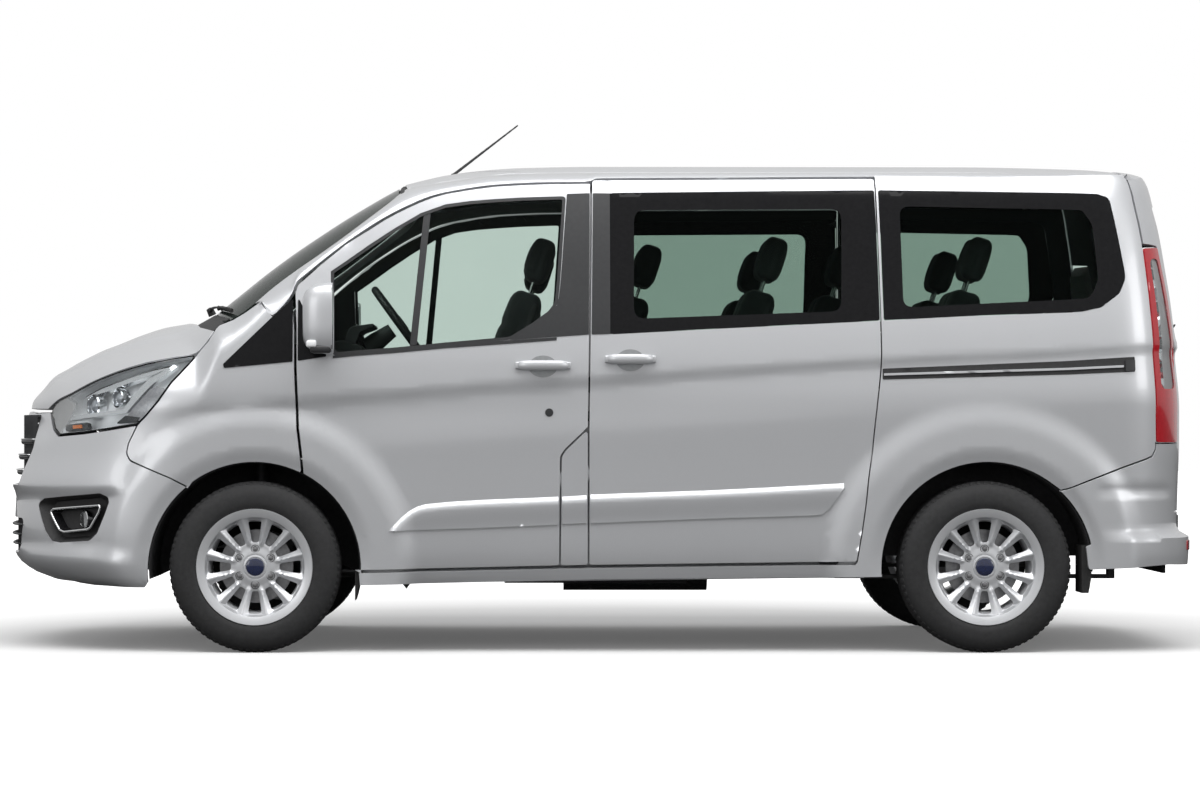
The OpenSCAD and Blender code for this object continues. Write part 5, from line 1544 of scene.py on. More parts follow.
# %% Door handles
def handle(name, x0, x1, z, body):
    """A pull handle that arches off the skin over a dished recess."""
    stations, ring = 26, 14
    rings = []
    for i in range(stations):
        t = i / (stations - 1)
        x = x0 + (x1 - x0) * t
        full = max(1 - abs(2 * t - 1) ** 5, 0.0) ** 0.5
        lift = 0.006 + 0.026 * max(1 - abs(2 * t - 1) ** 3.2, 0)
        spot, way = place_on(x, z, lift), outwards(x, z)
        half, deep = 0.004 + 0.0165 * full, 0.003 + 0.006 * full
        rings.append([spot + way * (deep * math.sin(a)) + Vector((0, 0, half * math.cos(a))) for a in
            np.linspace(0, 2 * math.pi, ring, endpoint=False)])
    verts = [p for r in rings for p in r]
    faces = [(i * ring + k, i * ring + (k + 1) % ring, (i + 1) * ring + (k + 1) % ring,
        (i + 1) * ring + k) for i in range(stations - 1) for k in range(ring)]
    faces += [tuple(range(ring)), tuple(range((stations - 1) * ring, stations * ring))]
    obj = make_object(name, verts, faces, PAINT, body, "paint")
    close_and_turn(obj)
    for share, label in ((0.06, "front"), (0.94, "rear")):
        x = x0 + (x1 - x0) * share
        block(name + "_foot_" + label, place_on(x - 0.014, z - 0.014, -0.004),
            place_on(x + 0.014, z + 0.014, 0.02), PAINT, body, "paint", bevel=0.004)
        keep_left(PIECES[-1][0])
    middle_x = (x0 + x1) / 2
    # The dished recess behind the handle is body silver painted darker: painted shade in the recess.
    recess = [(middle_x + 0.058 * math.cos(a),
        z - 0.004 + 0.044 * math.sin(a)) for a in np.linspace(0, 2 * math.pi, 24, endpoint=False)]
    cup = body_panel(name + "_cup", recess, body, RECESS_SHADE_PAINT, out=0.0015, thickness=0.002, bevel=0,
        step=0.012, slot="paint", surface=lambda w, zz, out=0.0: body_points(w, zz, out))
    keep_left(cup)
    return keep_left(obj)


# Body silver made darker for the handle recesses: painted shade, not a different paint.
RECESS_SHADE_PAINT = finish("shaded_silver", (0.3, 0.31, 0.32), (0.4, 0.41, 0.42), 0.35, Metallic=0.5)
handle("front_handle_left", 0.1, 0.32, 1.1525, "door_left")
handle("slide_handle_left", -0.24, -0.04, 1.1775, "body")


# %% [markdown]
# ## Door mirrors
# The shell is a deep rounded dome with a flat back that carries the glass. Its short arm grows out of
# the black corner piece of the door, close to the hinge, so the mirror swings clear of the wing.

# %% Mirrors
def mirror_shell():
    centre = Vector((1.045, 1.068, 1.338))
    half_y, half_z, deep = 0.064, 0.142, 0.125
    rows, ring = 14, 40
    verts, faces = [], []
    for i in range(rows):
        t = i / (rows - 1) * 0.985
        size = (1 - t**2.6) ** (1 / 2.6)
        for k in range(ring):
            a = 2 * math.pi * k / ring
            c, s = math.cos(a), math.sin(a)
            grow = (abs(c) ** 3.4 + abs(s) ** 3.4) ** (-1 / 3.4)
            y = half_y * grow * c * size * (1 - 0.16 * t * (c > 0))
            z = half_z * grow * s * (0.35 + 0.65 * size)
            verts.append(centre + Vector((deep * t, y, z)))
    for i in range(rows - 1):
        for k in range(ring):
            m = (k + 1) % ring
            faces.append((i * ring + k, i * ring + m, (i + 1) * ring + m, (i + 1) * ring + k))
    faces.append(tuple(range((rows - 1) * ring, rows * ring)))
    rim = len(verts)
    for inset, back in ((0.94, 0.0), (0.92, 0.012)):
        for k in range(ring):
            p = Vector(verts[k]) - centre
            verts.append(centre + Vector((back, p.y * inset, p.z * (inset + 0.03))))
    for k in range(ring):
        m = (k + 1) % ring
        faces.append((m, k, rim + k, rim + m))
        faces.append((rim + m, rim + k, rim + ring + k, rim + ring + m))
    faces.append(tuple(rim + ring + k for k in range(ring)))
    obj = make_object("mirror_shell_left", verts, faces, PAINT, "door_left", "paint")
    close_and_turn(obj)
    add_modifier(obj, "SUBSURF", levels=1, render_levels=1)
    return bake(obj)


shell = mirror_shell()
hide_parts("mirror_left")
shell_right = mirrored(shell, "mirror_shell_right", "door_right")
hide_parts("mirror_right")
MIRROR = finish("mirror_glass", (0.75, 0.77, 0.78), (0.8, 0.82, 0.83), 0.03, Metallic=1.0,
    rough_spread=0.01)
keep_left(block("mirror_glass_left", (1.047, 1.014, 1.214), (1.052, 1.122, 1.462), MIRROR, "door_left",
    "clear_glass", bevel=0.002))
arm_path = [(1.125, 0.958, 1.25), (1.125, 0.985, 1.262), (1.122, 1.01, 1.282), (1.118, 1.035, 1.3)]
keep_left(tube("mirror_arm_left", arm_path, [0.05, 0.046, 0.04, 0.034], SATIN_BLACK, "door_left",
    "black_plastic", segments=20, flat=1.0, up=(1, 0, 0)))
keep_left(block("mirror_skirt_left", (1.05, 1.01, 1.199), (1.135, 1.12, 1.232), SATIN_BLACK, "door_left",
    "black_plastic", bevel=0.012))
keep_left(block("mirror_indicator_left", (1.11, 1.085, 1.222), (1.15, 1.126, 1.25), LAMP_GREY,
    "door_left", "lamp_lens", bevel=0.008))
print("mirrors and trim", len(PIECES))

# %% [markdown]
# ## Wheels
# A tyre is a lathe: rounded shoulders, a bead that meets the rim and four grooves round the tread. The
# shoulder blocks and the wheel's nuts repeat round the axle, so one of each is drawn at the top and
# Geometry Nodes sets the rest. The rim's face is a dished disc with twelve windows cut through it.

# %% Round repeats with Geometry Nodes
def round_tree(material):
    """Repeats the drawn piece a number of times round the wheel's own axis."""
    tree = bpy.data.node_groups.new("round_repeat", "GeometryNodeTree")
    tree.interface.new_socket("Piece", in_out="INPUT", socket_type="NodeSocketGeometry")
    tree.interface.new_socket("Count", in_out="INPUT", socket_type="NodeSocketInt")
    tree.interface.new_socket("Result", in_out="OUTPUT", socket_type="NodeSocketGeometry")
    n = Nodes(tree)
    given = n.add("NodeGroupInput")
    points = n.add("GeometryNodePoints", {"Count": given.outputs["Count"]})
    index = n.add("GeometryNodeInputIndex").outputs[0]
    share = n.math("DIVIDE", index, given.outputs["Count"])
    turn = n.add("ShaderNodeCombineXYZ", {"Z": n.math("MULTIPLY", share, 2 * math.pi)})
    copies = n.add("GeometryNodeInstanceOnPoints", {"Points": points.outputs[0],
        "Instance": given.outputs["Piece"], "Rotation": turn.outputs[0]})
    real = n.add("GeometryNodeRealizeInstances", {0: copies.outputs[0]})
    finished = n.add("GeometryNodeSetMaterial", {"Geometry": real.outputs[0], "Material": material})
    n.add("NodeGroupOutput", {0: finished.outputs[0]})
    return tree


def round_repeat(obj, count, material):
    modifier = obj.modifiers.new("repeat", "NODES")
    modifier.node_group = round_tree(material)
    for item in modifier.node_group.interface.items_tree:
        if item.in_out == "INPUT" and item.name == "Count":
            modifier[item.identifier] = count
    return bake(obj)


# %% One wheel, drawn with its axis along Z
def wheel_parts():
    """Makes one of each wheel part about the origin, axis along Z, outer face upwards."""
    parts = []

    def keep(obj, slot):
        parts.append((obj, slot))
        del PIECES[-1:]
        return obj

    half = TYRE_W / 2
    side_curve = [(0.2035, half - 0.02), (0.222, half - 0.01), (0.236, half - 0.0065),
        (0.243, half - 0.002), (0.262, half), (0.285, half + 0.0005), (0.303, half - 0.003),
        (0.318, half - 0.009), (0.329, half - 0.016), (0.336, half - 0.024)]
    tread = [(0.3415, half - 0.034), (0.3425, half - 0.04), (0.3355, half - 0.0415),
        (0.3355, half - 0.0485), (0.3435, half - 0.05), (0.344, half - 0.076), (0.336, half - 0.0775),
        (0.336, half - 0.0845), (0.344, half - 0.086), (0.344, 0)]
    upper = side_curve + tread
    bore = [(0.2035, -half + 0.02), (0.2035, half - 0.02)]
    lower = [(r, -h) for r, h in reversed(upper[:-1])]
    tyre = turned_part("tyre", upper + lower + bore[1:], (0, 0, 0), (0, 0, 1), TYRE, None, None,
        segments=96, sharp=32)
    keep(tyre, "tyre")

    cut = block("tread_blocks", (0.322, -0.0085, half - 0.0395), (0.34, 0.0085, half - 0.0205), TYRE,
        None, None, bevel=0.0015, segments=1)
    keep(cut, "tyre")
    lean = Matrix.Rotation(math.radians(-36), 4, "Y")
    cut.data.transform(Matrix.Translation((0.3335, 0, half - 0.029)) @ lean @
        Matrix.Translation((-0.3335, 0, -half + 0.029)))
    low = cut.data.copy()
    low.transform(Matrix.Scale(-1, 4, (0, 0, 1)))
    low.flip_normals()
    bm = bmesh.new()
    bm.from_mesh(cut.data)
    bm.from_mesh(low)
    bm.to_mesh(cut.data)
    bm.free()
    round_repeat(cut, 76, TYRE)

    # the rim's barrel and lip
    barrel = [(0.196, half - 0.022), (0.2005, half - 0.012), (0.215, half - 0.006),
        (0.2325, half - 0.003), (0.2345, half - 0.008), (0.23, half - 0.0125), (0.2025, half - 0.021),
        (0.2025, half - 0.045), (0.189, half - 0.055), (0.186, -half + 0.055), (0.2025, -half + 0.04),
        (0.2025, -half + 0.021), (0.228, -half + 0.014), (0.228, -half + 0.01), (0.2, -half + 0.014),
        (0.18, -half + 0.055), (0.182, half - 0.055), (0.196, half - 0.022)]
    keep(turned_part("rim_barrel", barrel, (0, 0, 0), (0, 0, 1), ALLOY, None, None, 96, 40), "alloy")

    # the face: a dished disc with twelve windows
    outer = [(0.2275 * math.cos(a), 0.2275 * math.sin(a)) for a in np.linspace(0, 2 * math.pi, 121)[:-1]]
    inner = [(0.03 * math.cos(a), 0.03 * math.sin(a)) for a in np.linspace(0, 2 * math.pi, 37)[:-1]]
    window = [(0.098, 0.0125, 0.01), (0.16, 0.0235), (0.186, 0.0275, 0.014), (0.19, 0, 0.0),
        (0.186, -0.0275, 0.014), (0.16, -0.0235), (0.098, -0.0125, 0.01)]
    windows = []
    for k in range(12):
        a = 2 * math.pi * k / 12
        c, s = math.cos(a), math.sin(a)
        windows.append([(p[0] * c - p[1] * s, p[0] * s + p[1] * c, *p[2:]) for p in window])
    loops = [outer, inner] + [resample(rounded(w), 0.006) for w in windows]
    flat, faces = net(loops, 0.006)
    r = np.hypot(flat[:, 0], flat[:, 1])
    angle = np.arctan2(flat[:, 1], flat[:, 0])
    spoke = np.abs(((angle * 12 / (2 * math.pi)) % 1) - 0.5)
    dish = smooth_line([(0, 0.06), (0.035, 0.06), (0.052, 0.063), (0.085, 0.058), (0.12, 0.062),
        (0.17, 0.073), (0.2, 0.083), (0.2275, 0.0985)])
    ridge = 0.01 * (1 - ease(spoke / 0.19)) * ease((r - 0.075) / 0.03) * (1 - ease((r - 0.195) / 0.02))
    shoulder = -0.006 * ease((spoke - 0.16) / 0.1) * ease((r - 0.09) / 0.02) * (1 - ease((r - 0.2) / 0.02))
    verts = np.stack([flat[:, 0], flat[:, 1], dish(r) + ridge + shoulder], axis=-1)
    a, b, c = (verts[faces[:, i]] for i in range(3))
    if np.cross(b - a, c - a)[:, 2].sum() < 0:
        faces = faces[:, ::-1]
    face = keep(make_object("rim_face", verts, faces, ALLOY, None, None), "alloy")
    PIECES.append((face, None, None))
    thicken(face, 0.022, 0.0018)
    del PIECES[-1:]

    hub = [(0, 0.034), (0.046, 0.034), (0.05, 0.058), (0.046, 0.0655), (0.04, 0.067), (0.037, 0.064),
        (0, 0.064)]
    keep(turned_part("rim_hub", hub, (0, 0, 0), (0, 0, 1), ALLOY, None, None, 48), "alloy")
    cap = [(0, 0.062), (0.0362, 0.062), (0.0362, 0.066), (0.032, 0.0685), (0.02, 0.07), (0, 0.0705)]
    keep(turned_part("wheel_cap", cap, (0, 0, 0), (0, 0, 1), BLUE_CAP, None, None, 48), "alloy")
    # The nut wells are lined in a near-black finish rather than the rim's silver: painted shade in the deep
    # holes round the nuts.
    well_ring = [(0.0085, 0.05), (0.0165, 0.05), (0.0175, 0.0615), (0.0155, 0.0625), (0.0145, 0.055),
        (0.0085, 0.0545), (0.0085, 0.05)]
    nut_well = keep(turned_part("nut_wells", well_ring, (0.072, 0, 0), (0, 0, 1), LAMP_DARK, None, None,
        20), "alloy")
    round_repeat(nut_well, 6, LAMP_DARK)
    nut = keep(turned_part("wheel_nuts", [(0, 0.05), (0.0118, 0.05), (0.0118, 0.063), (0.009, 0.068),
        (0, 0.07)], (0.072, 0, 0), (0, 0, 1), STEEL, None, None, 6), "alloy")
    round_repeat(nut, 6, STEEL)
    disc = [(0.055, -0.03), (0.148, -0.03), (0.148, -0.022), (0.12, -0.021), (0.12, -0.015),
        (0.148, -0.014), (0.148, -0.006), (0.075, -0.006), (0.07, 0.03), (0.032, 0.032), (0.032, 0.02),
        (0.055, 0.018), (0.055, -0.03)]
    keep(turned_part("brake_disc", disc, (0, 0, 0), (0, 0, 1), STEEL, None, None, 64, 30), "alloy")
    vane = block("disc_vanes", (0.122, -0.002, -0.022), (0.147, 0.002, -0.014), CAST, None, None, bevel=0)
    keep(vane, "alloy")
    round_repeat(vane, 36, CAST)
    return parts


# %% All four wheels
def place_wheels():
    parts = wheel_parts()
    count = 0
    for end, x in (("front", FRONT_AXLE), ("rear", REAR_AXLE)):
        for side_name, sign in (("left", 1), ("right", -1)):
            body = f"wheel_{end}_{side_name}"
            turn = Matrix.Rotation(math.radians(-90 * sign), 4, "X")
            spot = Matrix.Translation((x, sign * WHEEL_Y, WHEEL_Z))
            spin = Matrix.Rotation(math.radians(90 if sign > 0 else -90), 4, "Z")
            for obj, slot in parts:
                mesh = obj.data.copy()
                mesh.transform(spot @ turn @ spin)
                piece = bpy.data.objects.new(f"{obj.name}_{end}_{side_name}", mesh)
                bpy.context.collection.objects.link(piece)
                PIECES.append((piece, body, slot))
                if obj.name == "tyre":
                    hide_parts(f"tyre_{end}_{side_name}")
                if obj.name == "rim_face":
                    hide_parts(f"rim_{end}_{side_name}")
                count += len(mesh.polygons)
    for obj, slot in parts:
        bpy.data.objects.remove(obj)
    print("wheel faces", count)


place_wheels()

# %% [markdown]
# ## Wheel arch liners and inner pillars
# Dark plastic shells line the arches, and painted posts and sills stand behind the doors, so that an
# open door or a turned wheel shows the vehicle's real inner walls.

# %% Liners, posts and sills
def liner(name, centre, y0, y1, start, end, wall):
    angles = np.radians(np.linspace(start, end, 40))
    ys = np.linspace(y0, y1, 7)
    r = 0.4215
    verts = [(centre + r * math.cos(a), y, 0.34 + r * math.sin(a)) for y in ys for a in angles]
    count = len(angles)
    faces = [(i * count + k, i * count + k + 1, (i + 1) * count + k + 1,
        (i + 1) * count + k) for i in range(len(ys) - 1) for k in range(count - 1)]
    if wall:
        hub = len(verts)
        verts.append((centre, y0, 0.5))
        faces += [(hub, k + 1, k) for k in range(count - 1)]
    obj = make_object(name, verts, faces, UNDERSEAL, "body", "underbody")
    turn_outwards(obj, (0, 0, 1))
    thicken(obj, 0.004, 0)
    return keep_left(obj)


liner("front_arch_liner_left", FRONT_AXLE, 0.565, 0.95, -6, 186, True)
liner("rear_arch_liner_left", REAR_AXLE - 0.006, 0.7, 0.95, 12, 182, False)
left_panel("centre_post_left", [(-0.06, 0.345), (0.2, 0.345), (0.19, 0.9), (0.078, 0.96), (0.066, 1.25),
    (0.06, 1.885), (-0.055, 1.885)], "body", PAINT, out=-0.078, thickness=0.03, inner=CABIN_PALE)
left_panel("inner_sill_left", [(-1.08, 0.3), (0.935, 0.275), (0.935, 0.47), (-1.08, 0.47)], "body", PAINT,
    out=-0.055, thickness=0.04, inner=CABIN)
left_panel("hinge_post_left", [(1.0, 0.76), (1.125, 0.76), (1.13, 0.9), (1.135, 1.27), (1.06, 1.27),
    (1.02, 0.95)], "body", PAINT, out=-0.105, thickness=0.03, inner=CABIN)
left_panel("rear_seam_post_left", [(-1.0, 0.36), (-1.085, 0.36), (-1.13, 0.7), (-1.17, 1.06),
    (-1.09, 1.06), (-1.03, 0.7)], "body", PAINT, out=-0.05, thickness=0.02, inner=CABIN)
header_path = [screen_surface(np.array([s]), np.array([1.0]))[0] + [-0.012, 0, -0.014] for s in
    np.linspace(-0.97, 0.97, 41)]
tube("screen_header_seal", header_path, 0.02, MATT_BLACK, "body", "black_plastic", segments=10,
    up=(0, 0, 1))
print("liners and posts", len(PIECES))

# %% [markdown]
# ## Scuttle, wipers and aerial
# A dark plastic scuttle fills the gap between the bonnet and the windscreen. Two wipers park over it.

# %% Scuttle and wipers
def scuttle_surface(s, t, out=0.0):
    """From the bonnet's rear edge up to the glass."""
    low = bonnet_surface(s, np.full_like(t, 0.992), -0.012)
    high = screen_surface(s, np.full_like(t, 0.045), 0.004)
    return low + (high - low) * np.asarray(t)[:, None] + np.array([0, 0, out])


scuttle = lofted("scuttle_panel", scuttle_surface, (0, 0.965), (0, 1), (44, 8), "body", MATT_BLACK,
    "black_plastic", thickness=0.012, bevel=0)
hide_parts("cowl")


def on_screen(y, t, out):
    s = abs(y) / float(screen_side(np.array([t]))[0][1])
    p = screen_surface(np.array([s]), np.array([t]), 0)[0]
    return Vector((p[0] + out * 0.55, math.copysign(abs(y), y), p[2] + out * 0.83))


for name, y0, y1 in (("near", 0.12, 0.74), ("far", -0.62, 0.02)):
    arm = [on_screen(y0 + (y1 - y0) * k / 10, 0.04 + 0.035 * k / 10, 0.034) for k in range(11)]
    tube(f"wiper_arm_{name}", arm, [0.009 - 0.0004 * k for k in range(11)], MATT_BLACK, "body",
        "black_plastic", flat=0.7)
    blade = [on_screen(y0 + 0.1 + (y1 + 0.02 - y0 - 0.1) * k / 14, 0.075 + 0.012 * k / 14,
        0.016) for k in range(15)]
    tube(f"wiper_blade_{name}", blade, 0.007, RUBBER, "body", "rubber", flat=1.3)
    turned_part(f"wiper_hub_{name}", [(0, -0.02), (0.017, -0.02), (0.015, 0.012), (0, 0.016)], arm[0],
        (0.4, 0, 0.9), MATT_BLACK, "body", "black_plastic", 24)

aerial_foot = Vector((0.606, 0, float(roof_middle(0.606)) - 0.002))
turned_part("aerial_base", [(0, -0.004), (0.022, -0.004), (0.02, 0.008), (0.011, 0.018), (0.006, 0.034),
    (0, 0.036)], aerial_foot, (-0.45, 0, 1), MATT_BLACK, "body", "black_plastic", 28)
tip = Vector((0.314, 0, 2.203))
root = aerial_foot + Vector((-0.008, 0, 0.022))
rod = [root.lerp(tip, k / 24) for k in range(25)]
coil = [0.0062 - 0.0034 * k / 24 + 0.0005 * (k % 2) for k in range(25)]
aerial = tube("aerial_rod", rod, coil, MATT_BLACK, "body", "black_plastic", segments=8, up=(0, 1, 0))
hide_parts("antenna")
print("scuttle and aerial", len(PIECES))

# %% [markdown]
# ## Seats
# Seat foam is a crowned closed form. Its sides pull in between the corners, and sewn channels press
# lines into the top. One cushion, one back and one head restraint are shaped as smooth nets, swollen
# slightly by a cloth simulation, and then copied to each place on the vehicle.

# %% A padded form
def pad_form(name, size, crown, pull, channels, cuts=26):
    """A rounded cushion about the origin: size is (length, width, height)."""
    bm = bmesh.new()
    bmesh.ops.create_cube(bm, size=2)
    bmesh.ops.subdivide_edges(bm, edges=bm.edges[:], cuts=cuts, use_grid_fill=True)
    length, width, height = (s / 2 for s in size)
    corner = min(size) * 0.34
    for v in bm.verts:
        u, w, t = v.co
        box = Vector((u * length, w * width, t * height))
        core = Vector((max(-length + corner, min(length - corner, box.x)),
            max(-width + corner, min(width - corner, box.y)),
            max(-height + corner, min(height - corner, box.z))))
        away = box - core
        if away.length > 1e-6:
            box = core + away.normalized() * corner
        share_u, share_w = 1 - min(abs(u), 1) ** 2, 1 - min(abs(w), 1) ** 2
        box.z += crown * share_u * share_w * (1 if t > 0 else 0.25 * t)
        box.y *= 1 - pull * share_u * (1 - abs(t)) * (abs(w) > 0.6)
        box.x *= 1 - pull * share_w * (1 - abs(t)) * (abs(u) > 0.6)
        for axis, where, depth in channels:
            gap = (u if axis == 0 else w) - where
            if t > 0.2:
                box.z -= depth * math.exp(-(gap / 0.035) ** 2)
        v.co = box
    mesh = bpy.data.meshes.new(name)
    bm.to_mesh(mesh)
    bm.free()
    obj = adopt(name, mesh, CLOTH, None, None)
    del PIECES[-1:]
    return obj


def swell(obj, cap):
    """Lets the foam swell under a little pressure, and keeps the result as its mesh."""
    rest = [v.co.copy() for v in obj.data.vertices]
    cloth = obj.modifiers.new("cloth", "CLOTH")
    cloth.settings.use_pressure = True
    cloth.settings.uniform_pressure_force = 4
    cloth.settings.effector_weights.gravity = 0
    cloth.settings.quality = 4
    cloth.point_cache.frame_start = 1
    cloth.point_cache.frame_end = 20
    for step in range(1, 21):
        bpy.context.scene.frame_set(step)
    bake(obj)
    bpy.context.scene.frame_set(1)
    far = [(v.co - old).length for v, old in zip(obj.data.vertices, rest)]
    print(obj.name, "swelled by up to", round(max(far) * 1000, 2), "mm, mean",
        round(sum(far) / len(far) * 1000, 2))
    for v, old in zip(obj.data.vertices, rest):
        move = v.co - old
        if move.length > cap:
            v.co = old + move.normalized() * cap
    return obj


# %% Seat templates
cushion = swell(pad_form("cushion", (0.5, 0.45, 0.15), 0.014, 0.05,
    [(1, -0.55, 0.01), (1, 0.55, 0.01), (0, 0.25, 0.007)]), 0.008)
back_pad = swell(pad_form("back_pad", (0.63, 0.445, 0.118), 0.016, 0.06, [(1, -0.55, 0.012),
    (1, 0.55, 0.012), (0, -0.2, 0.008), (0, 0.5, 0.008)]), 0.008)
rest_pad = swell(pad_form("rest_pad", (0.185, 0.25, 0.09), 0.008, 0.08, [(0, -0.45, 0.004)], 18), 0.006)
templates = [cushion, back_pad, rest_pad]


# %% One seat
def copy_to(template, name, matrix, body):
    mesh = template.data.copy()
    mesh.transform(matrix)
    obj = bpy.data.objects.new(name, mesh)
    bpy.context.collection.objects.link(obj)
    PIECES.append((obj, body, "seat_cloth"))
    return obj


def seat(name, x, y, width):
    """Cushion, reclined back and head restraint on posts, above a pedestal."""
    floor = 0.44
    wide = width / 0.47
    lean = Matrix.Translation((x - 0.255, y, floor + 0.42)) @ Matrix.Rotation(math.radians(-18), 4, "Y")
    stand = Matrix.Rotation(math.radians(-90), 4, "Y") @ Matrix.Rotation(math.pi, 4, "X")
    base = copy_to(cushion, name + "_cushion",
        Matrix.Translation((x + 0.01, y, floor + 0.372)) @ Matrix.Diagonal((1, wide, 0.94, 1)), "body")
    copy_to(back_pad, name + "_back",
        lean @ Matrix.Translation((0.0, 0, 0.325)) @ stand @ Matrix.Diagonal((1, wide, 1, 1)), "body")
    copy_to(rest_pad, name + "_head_rest", lean @ Matrix.Translation((0.0, 0, 0.772)) @ stand, "body")
    for i, dy in enumerate((-0.055, 0.055)):
        low, high = lean @ Vector((0, dy, 0.6)), lean @ Vector((0, dy, 0.74))
        tube(f"{name}_post_{i + 1}", [low, low.lerp(high, 0.5), high], 0.006, CHROME, "body",
            "black_trim", segments=12, up=(0, 1, 0))
    block(name + "_pedestal", (x - 0.19, y - width / 2 + 0.1, floor),
        (x + 0.2, y + width / 2 - 0.1, floor + 0.305), CABIN, "body", "cabin_trim", bevel=0.02,
        taper=0.92)
    shell = block(name + "_shell", (-0.052, -width / 2 + 0.02, 0.02), (-0.02, width / 2 - 0.02, 0.6),
        CABIN, "body", "cabin_trim", bevel=0.012)
    shell.data.transform(lean)
    return base


first = seat("driver_seat", 0.714, 0.463, 0.47)
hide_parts("front_seats")
seat("passenger_seat", 0.714, -0.463, 0.47)
for row, x in enumerate((-0.238, -1.077)):
    for label, y, ahead in (("left", 0.56, 0), ("right", -0.56, 0), ("middle", 0, 0.495)):
        seat(f"row_{row + 2}_{label}", x + ahead, y, 0.44)
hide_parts("rear_seats")
for template in templates:
    bpy.data.objects.remove(template)
print("seats", len(PIECES))

# %% [markdown]
# ## Dashboard and steering wheel
# The dashboard is one soft moulding swept across the cabin, with a hood over the dials, vents and a
# centre panel. The steering wheel has a padded rim, a hub and three spokes on its tilted column.

# %% Dashboard
def swept(name, profile, y0, y1, material, body, slot, bevel=0.012):
    """A closed outline in X and Z swept across the vehicle."""
    outline = resample(rounded(profile, 5), 0.05)
    count = len(outline)
    stations = np.linspace(y0, y1, 9)
    verts = [(x, y, z) for y in stations for x, z in outline]
    faces = [(i * count + k, i * count + (k + 1) % count, (i + 1) * count + (k + 1) % count,
        (i + 1) * count + k) for i in range(8) for k in range(count)]
    faces += [tuple(range(count)), tuple(range(8 * count, 9 * count))]
    obj = make_object(name, verts, faces, material, body, slot)
    close_and_turn(obj)
    if bevel:
        add_modifier(obj, "BEVEL", width=bevel, segments=3, limit_method="ANGLE",
            angle_limit=math.radians(60), harden_normals=True)
        bake(obj)
    return obj


dash = swept("dash_moulding", [(1.47, 1.205, 0.02), (1.21, 1.242, 0.05), (1.02, 1.258, 0.03),
    (0.945, 1.238, 0.03), (0.915, 1.18, 0.03), (0.955, 1.0, 0.06), (1.045, 0.765, 0.05),
    (1.135, 0.705, 0.02), (1.138, 1.09, 0.02)], -0.815, 0.815, CABIN, "body", "cabin_trim")
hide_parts("dashboard")
swept("dial_hood", [(1.03, 1.235, 0.01), (1.005, 1.318, 0.03), (0.905, 1.332, 0.012),
    (0.902, 1.318, 0.008), (0.96, 1.296, 0.02), (0.985, 1.23, 0.01)], 0.283, 0.643, CABIN, "body",
    "cabin_trim", bevel=0.008)
DIAL_SECTION = [
    (0, -0.01), (0.062, -0.01), (0.066, 0.006), (0.06, 0.008), (0.058, 0.0), (0, 0.0),
]
DIAL_TILT = (-0.9, 0, 0.35)
for label, dial_y in (("left", 0.545), ("right", 0.381)):
    turned_part("dial_" + label, DIAL_SECTION, (0.962, dial_y, 1.27), DIAL_TILT, GLOSS_BLACK,
                "body", "black_trim", 32)
centre = block("centre_panel", (0.905, -0.15, 0.93), (0.96, 0.15, 1.215), GLOSS_BLACK, "body",
    "black_trim", bevel=0.014)
block("centre_screen", (0.9, -0.115, 1.085), (0.907, 0.115, 1.195), LAMP_DARK, "body", "black_trim",
    bevel=0.004)
for i, y in enumerate((-0.74, -0.215, 0.215, 0.74)):
    turned_part(f"air_vent_{i + 1}", [(0, -0.02), (0.045, -0.02), (0.05, 0.004), (0.044, 0.008),
        (0.038, -0.006), (0, -0.006)], (0.925, y, 1.175), (-1, 0, 0.15), SATIN_BLACK, "body",
        "cabin_trim", 28)
tube("column", [(0.985, 0.463, 1.2), (0.9, 0.463, 1.262), (0.835, 0.463, 1.309)], [0.045, 0.04, 0.03],
    CABIN, "body", "cabin_trim", segments=20, up=(0, 1, 0))
block("gear_console", (0.86, -0.09, 0.78), (0.97, 0.09, 0.95), CABIN, "body", "cabin_trim", bevel=0.02)
tube("gear_lever", [(0.875, 0, 0.93), (0.845, 0, 1.0), (0.835, 0, 1.045)], [0.01, 0.008, 0.008],
    SATIN_BLACK, "body", "cabin_trim", up=(0, 1, 0))
turned_part("gear_knob", [(0, -0.02), (0.018, -0.018), (0.026, 0.0), (0.024, 0.022), (0.012, 0.032),
    (0, 0.034)], (0.833, 0, 1.058), (-0.2, 0, 1), SATIN_BLACK, "body", "cabin_trim", 24)

# %% Steering wheel
STEER_AT = Vector((0.802, 0.463, 1.333))
STEER_AXIS = Vector((-0.80902, 0, 0.58779))
rim_profile = [(0.1765 + 0.0155 * math.cos(a), 0.0155 * math.sin(a)) for a in
    np.linspace(0, 2 * math.pi, 17)]
wheel_rim = turned_part("steering_rim", rim_profile, STEER_AT, STEER_AXIS, SATIN_BLACK, "steering",
    "cabin_trim", 64, 80)
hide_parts("steering_wheel")
turned_part("steering_hub", [(0, -0.014), (0.058, -0.014), (0.066, 0.0), (0.06, 0.013), (0.03, 0.019),
    (0, 0.02)], STEER_AT, STEER_AXIS, CABIN, "steering", "cabin_trim", 40, 70)
steer_turn = STEER_AXIS.to_track_quat("Z", "Y").to_matrix()
for i, degrees in enumerate((180, 0, -90)):
    a = math.radians(degrees)
    way = steer_turn @ Vector((math.cos(a), math.sin(a), 0))
    spoke_path = [STEER_AT + way * r for r in (0.045, 0.09, 0.135, 0.172)]
    tube(f"steering_spoke_{i + 1}", spoke_path, [0.026, 0.019, 0.015, 0.017], CABIN, "steering",
        "cabin_trim", segments=14, flat=0.42, up=STEER_AXIS)

# %% [markdown]
# ## Inner lining
# The cabin's sides are lined below the windows, and each door has an armrest and a lower pocket.

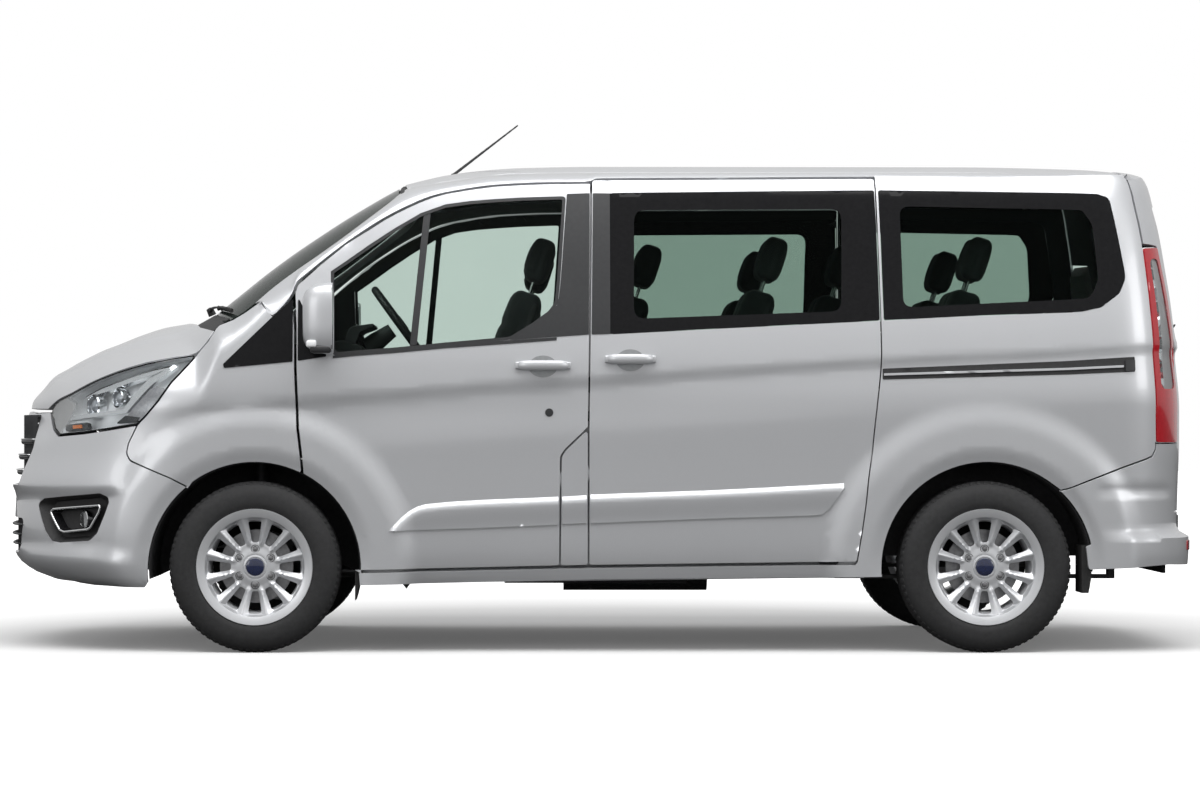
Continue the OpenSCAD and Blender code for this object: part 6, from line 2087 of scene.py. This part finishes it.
# %% Lining
left_panel("quarter_lining_left", [(-1.19, 0.8), (-1.19, 1.315), (-1.95, 1.345), (-2.14, 1.44),
    (-2.19, 1.3), (-2.2, 0.8)], "body", CABIN, out=-0.05, thickness=0.01, step=0.05, slot="cabin_trim")
keep_left(block("armrest_left", (0.3, 0.845, 0.985), (0.78, 0.905, 1.04), CABIN, "door_left",
    "cabin_trim", bevel=0.018))
keep_left(block("door_pocket_left", (0.24, 0.85, 0.52), (0.86, 0.905, 0.64), CABIN, "door_left",
    "cabin_trim", bevel=0.02))
keep_left(block("inner_pull_left", (0.8, 0.87, 1.04), (0.9, 0.9, 1.075), CHROME, "door_left",
    "black_trim", bevel=0.01))
block("inner_mirror", (1.075, -0.115, 1.645), (1.09, 0.115, 1.705), CABIN, "body", "cabin_trim",
    bevel=0.012)
tube("inner_mirror_stalk", [(1.092, 0, 1.69), (1.11, 0, 1.712), (1.13, 0, 1.722)], 0.008, CABIN, "body",
    "cabin_trim", up=(0, 1, 0))
print("interior pieces", len(PIECES))

# %% [markdown]
# ## Finishes on the construction that stays visible
# The engine, axles, exhaust, tank and floor keep their construction shapes. Each gets the finish its
# real counterpart has: cast metal, painted steel, rubber or underseal.

# %% Finishes for kept pieces
kept = {"floor_pan": UNDERSEAL, "engine": CAST, "front_subframe": DARK_METAL, "rear_axle": DARK_METAL,
    "exhaust": STEEL, "fuel_tank": MATT_BLACK, "mud_flaps": RUBBER, "knuckle_left": CAST,
    "knuckle_right": CAST}
for node, material in kept.items():
    for slot in nodes[node].material_slots:
        slot.material = material
print("kept pieces", sorted(kept))

# %% Ride and hidden construction
def finish_pieces():
    for obj, body, slot in PIECES:
        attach(obj, body)


for obj in LEFT_ONLY:
    body = next(b for o, b, s in PIECES if o == obj)
    mirrored(obj, obj.name.replace("_left", "_right"), right_body(body))


finish_pieces()
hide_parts("front_door_left")
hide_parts("front_door_right")
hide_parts("sliding_door_left", "sliding_door_right")
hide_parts("body_side_left", "body_side_right")
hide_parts("front_wings")
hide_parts("fuel_flap")
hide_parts("bonnet")
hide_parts("windscreen")
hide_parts("roof_panel")
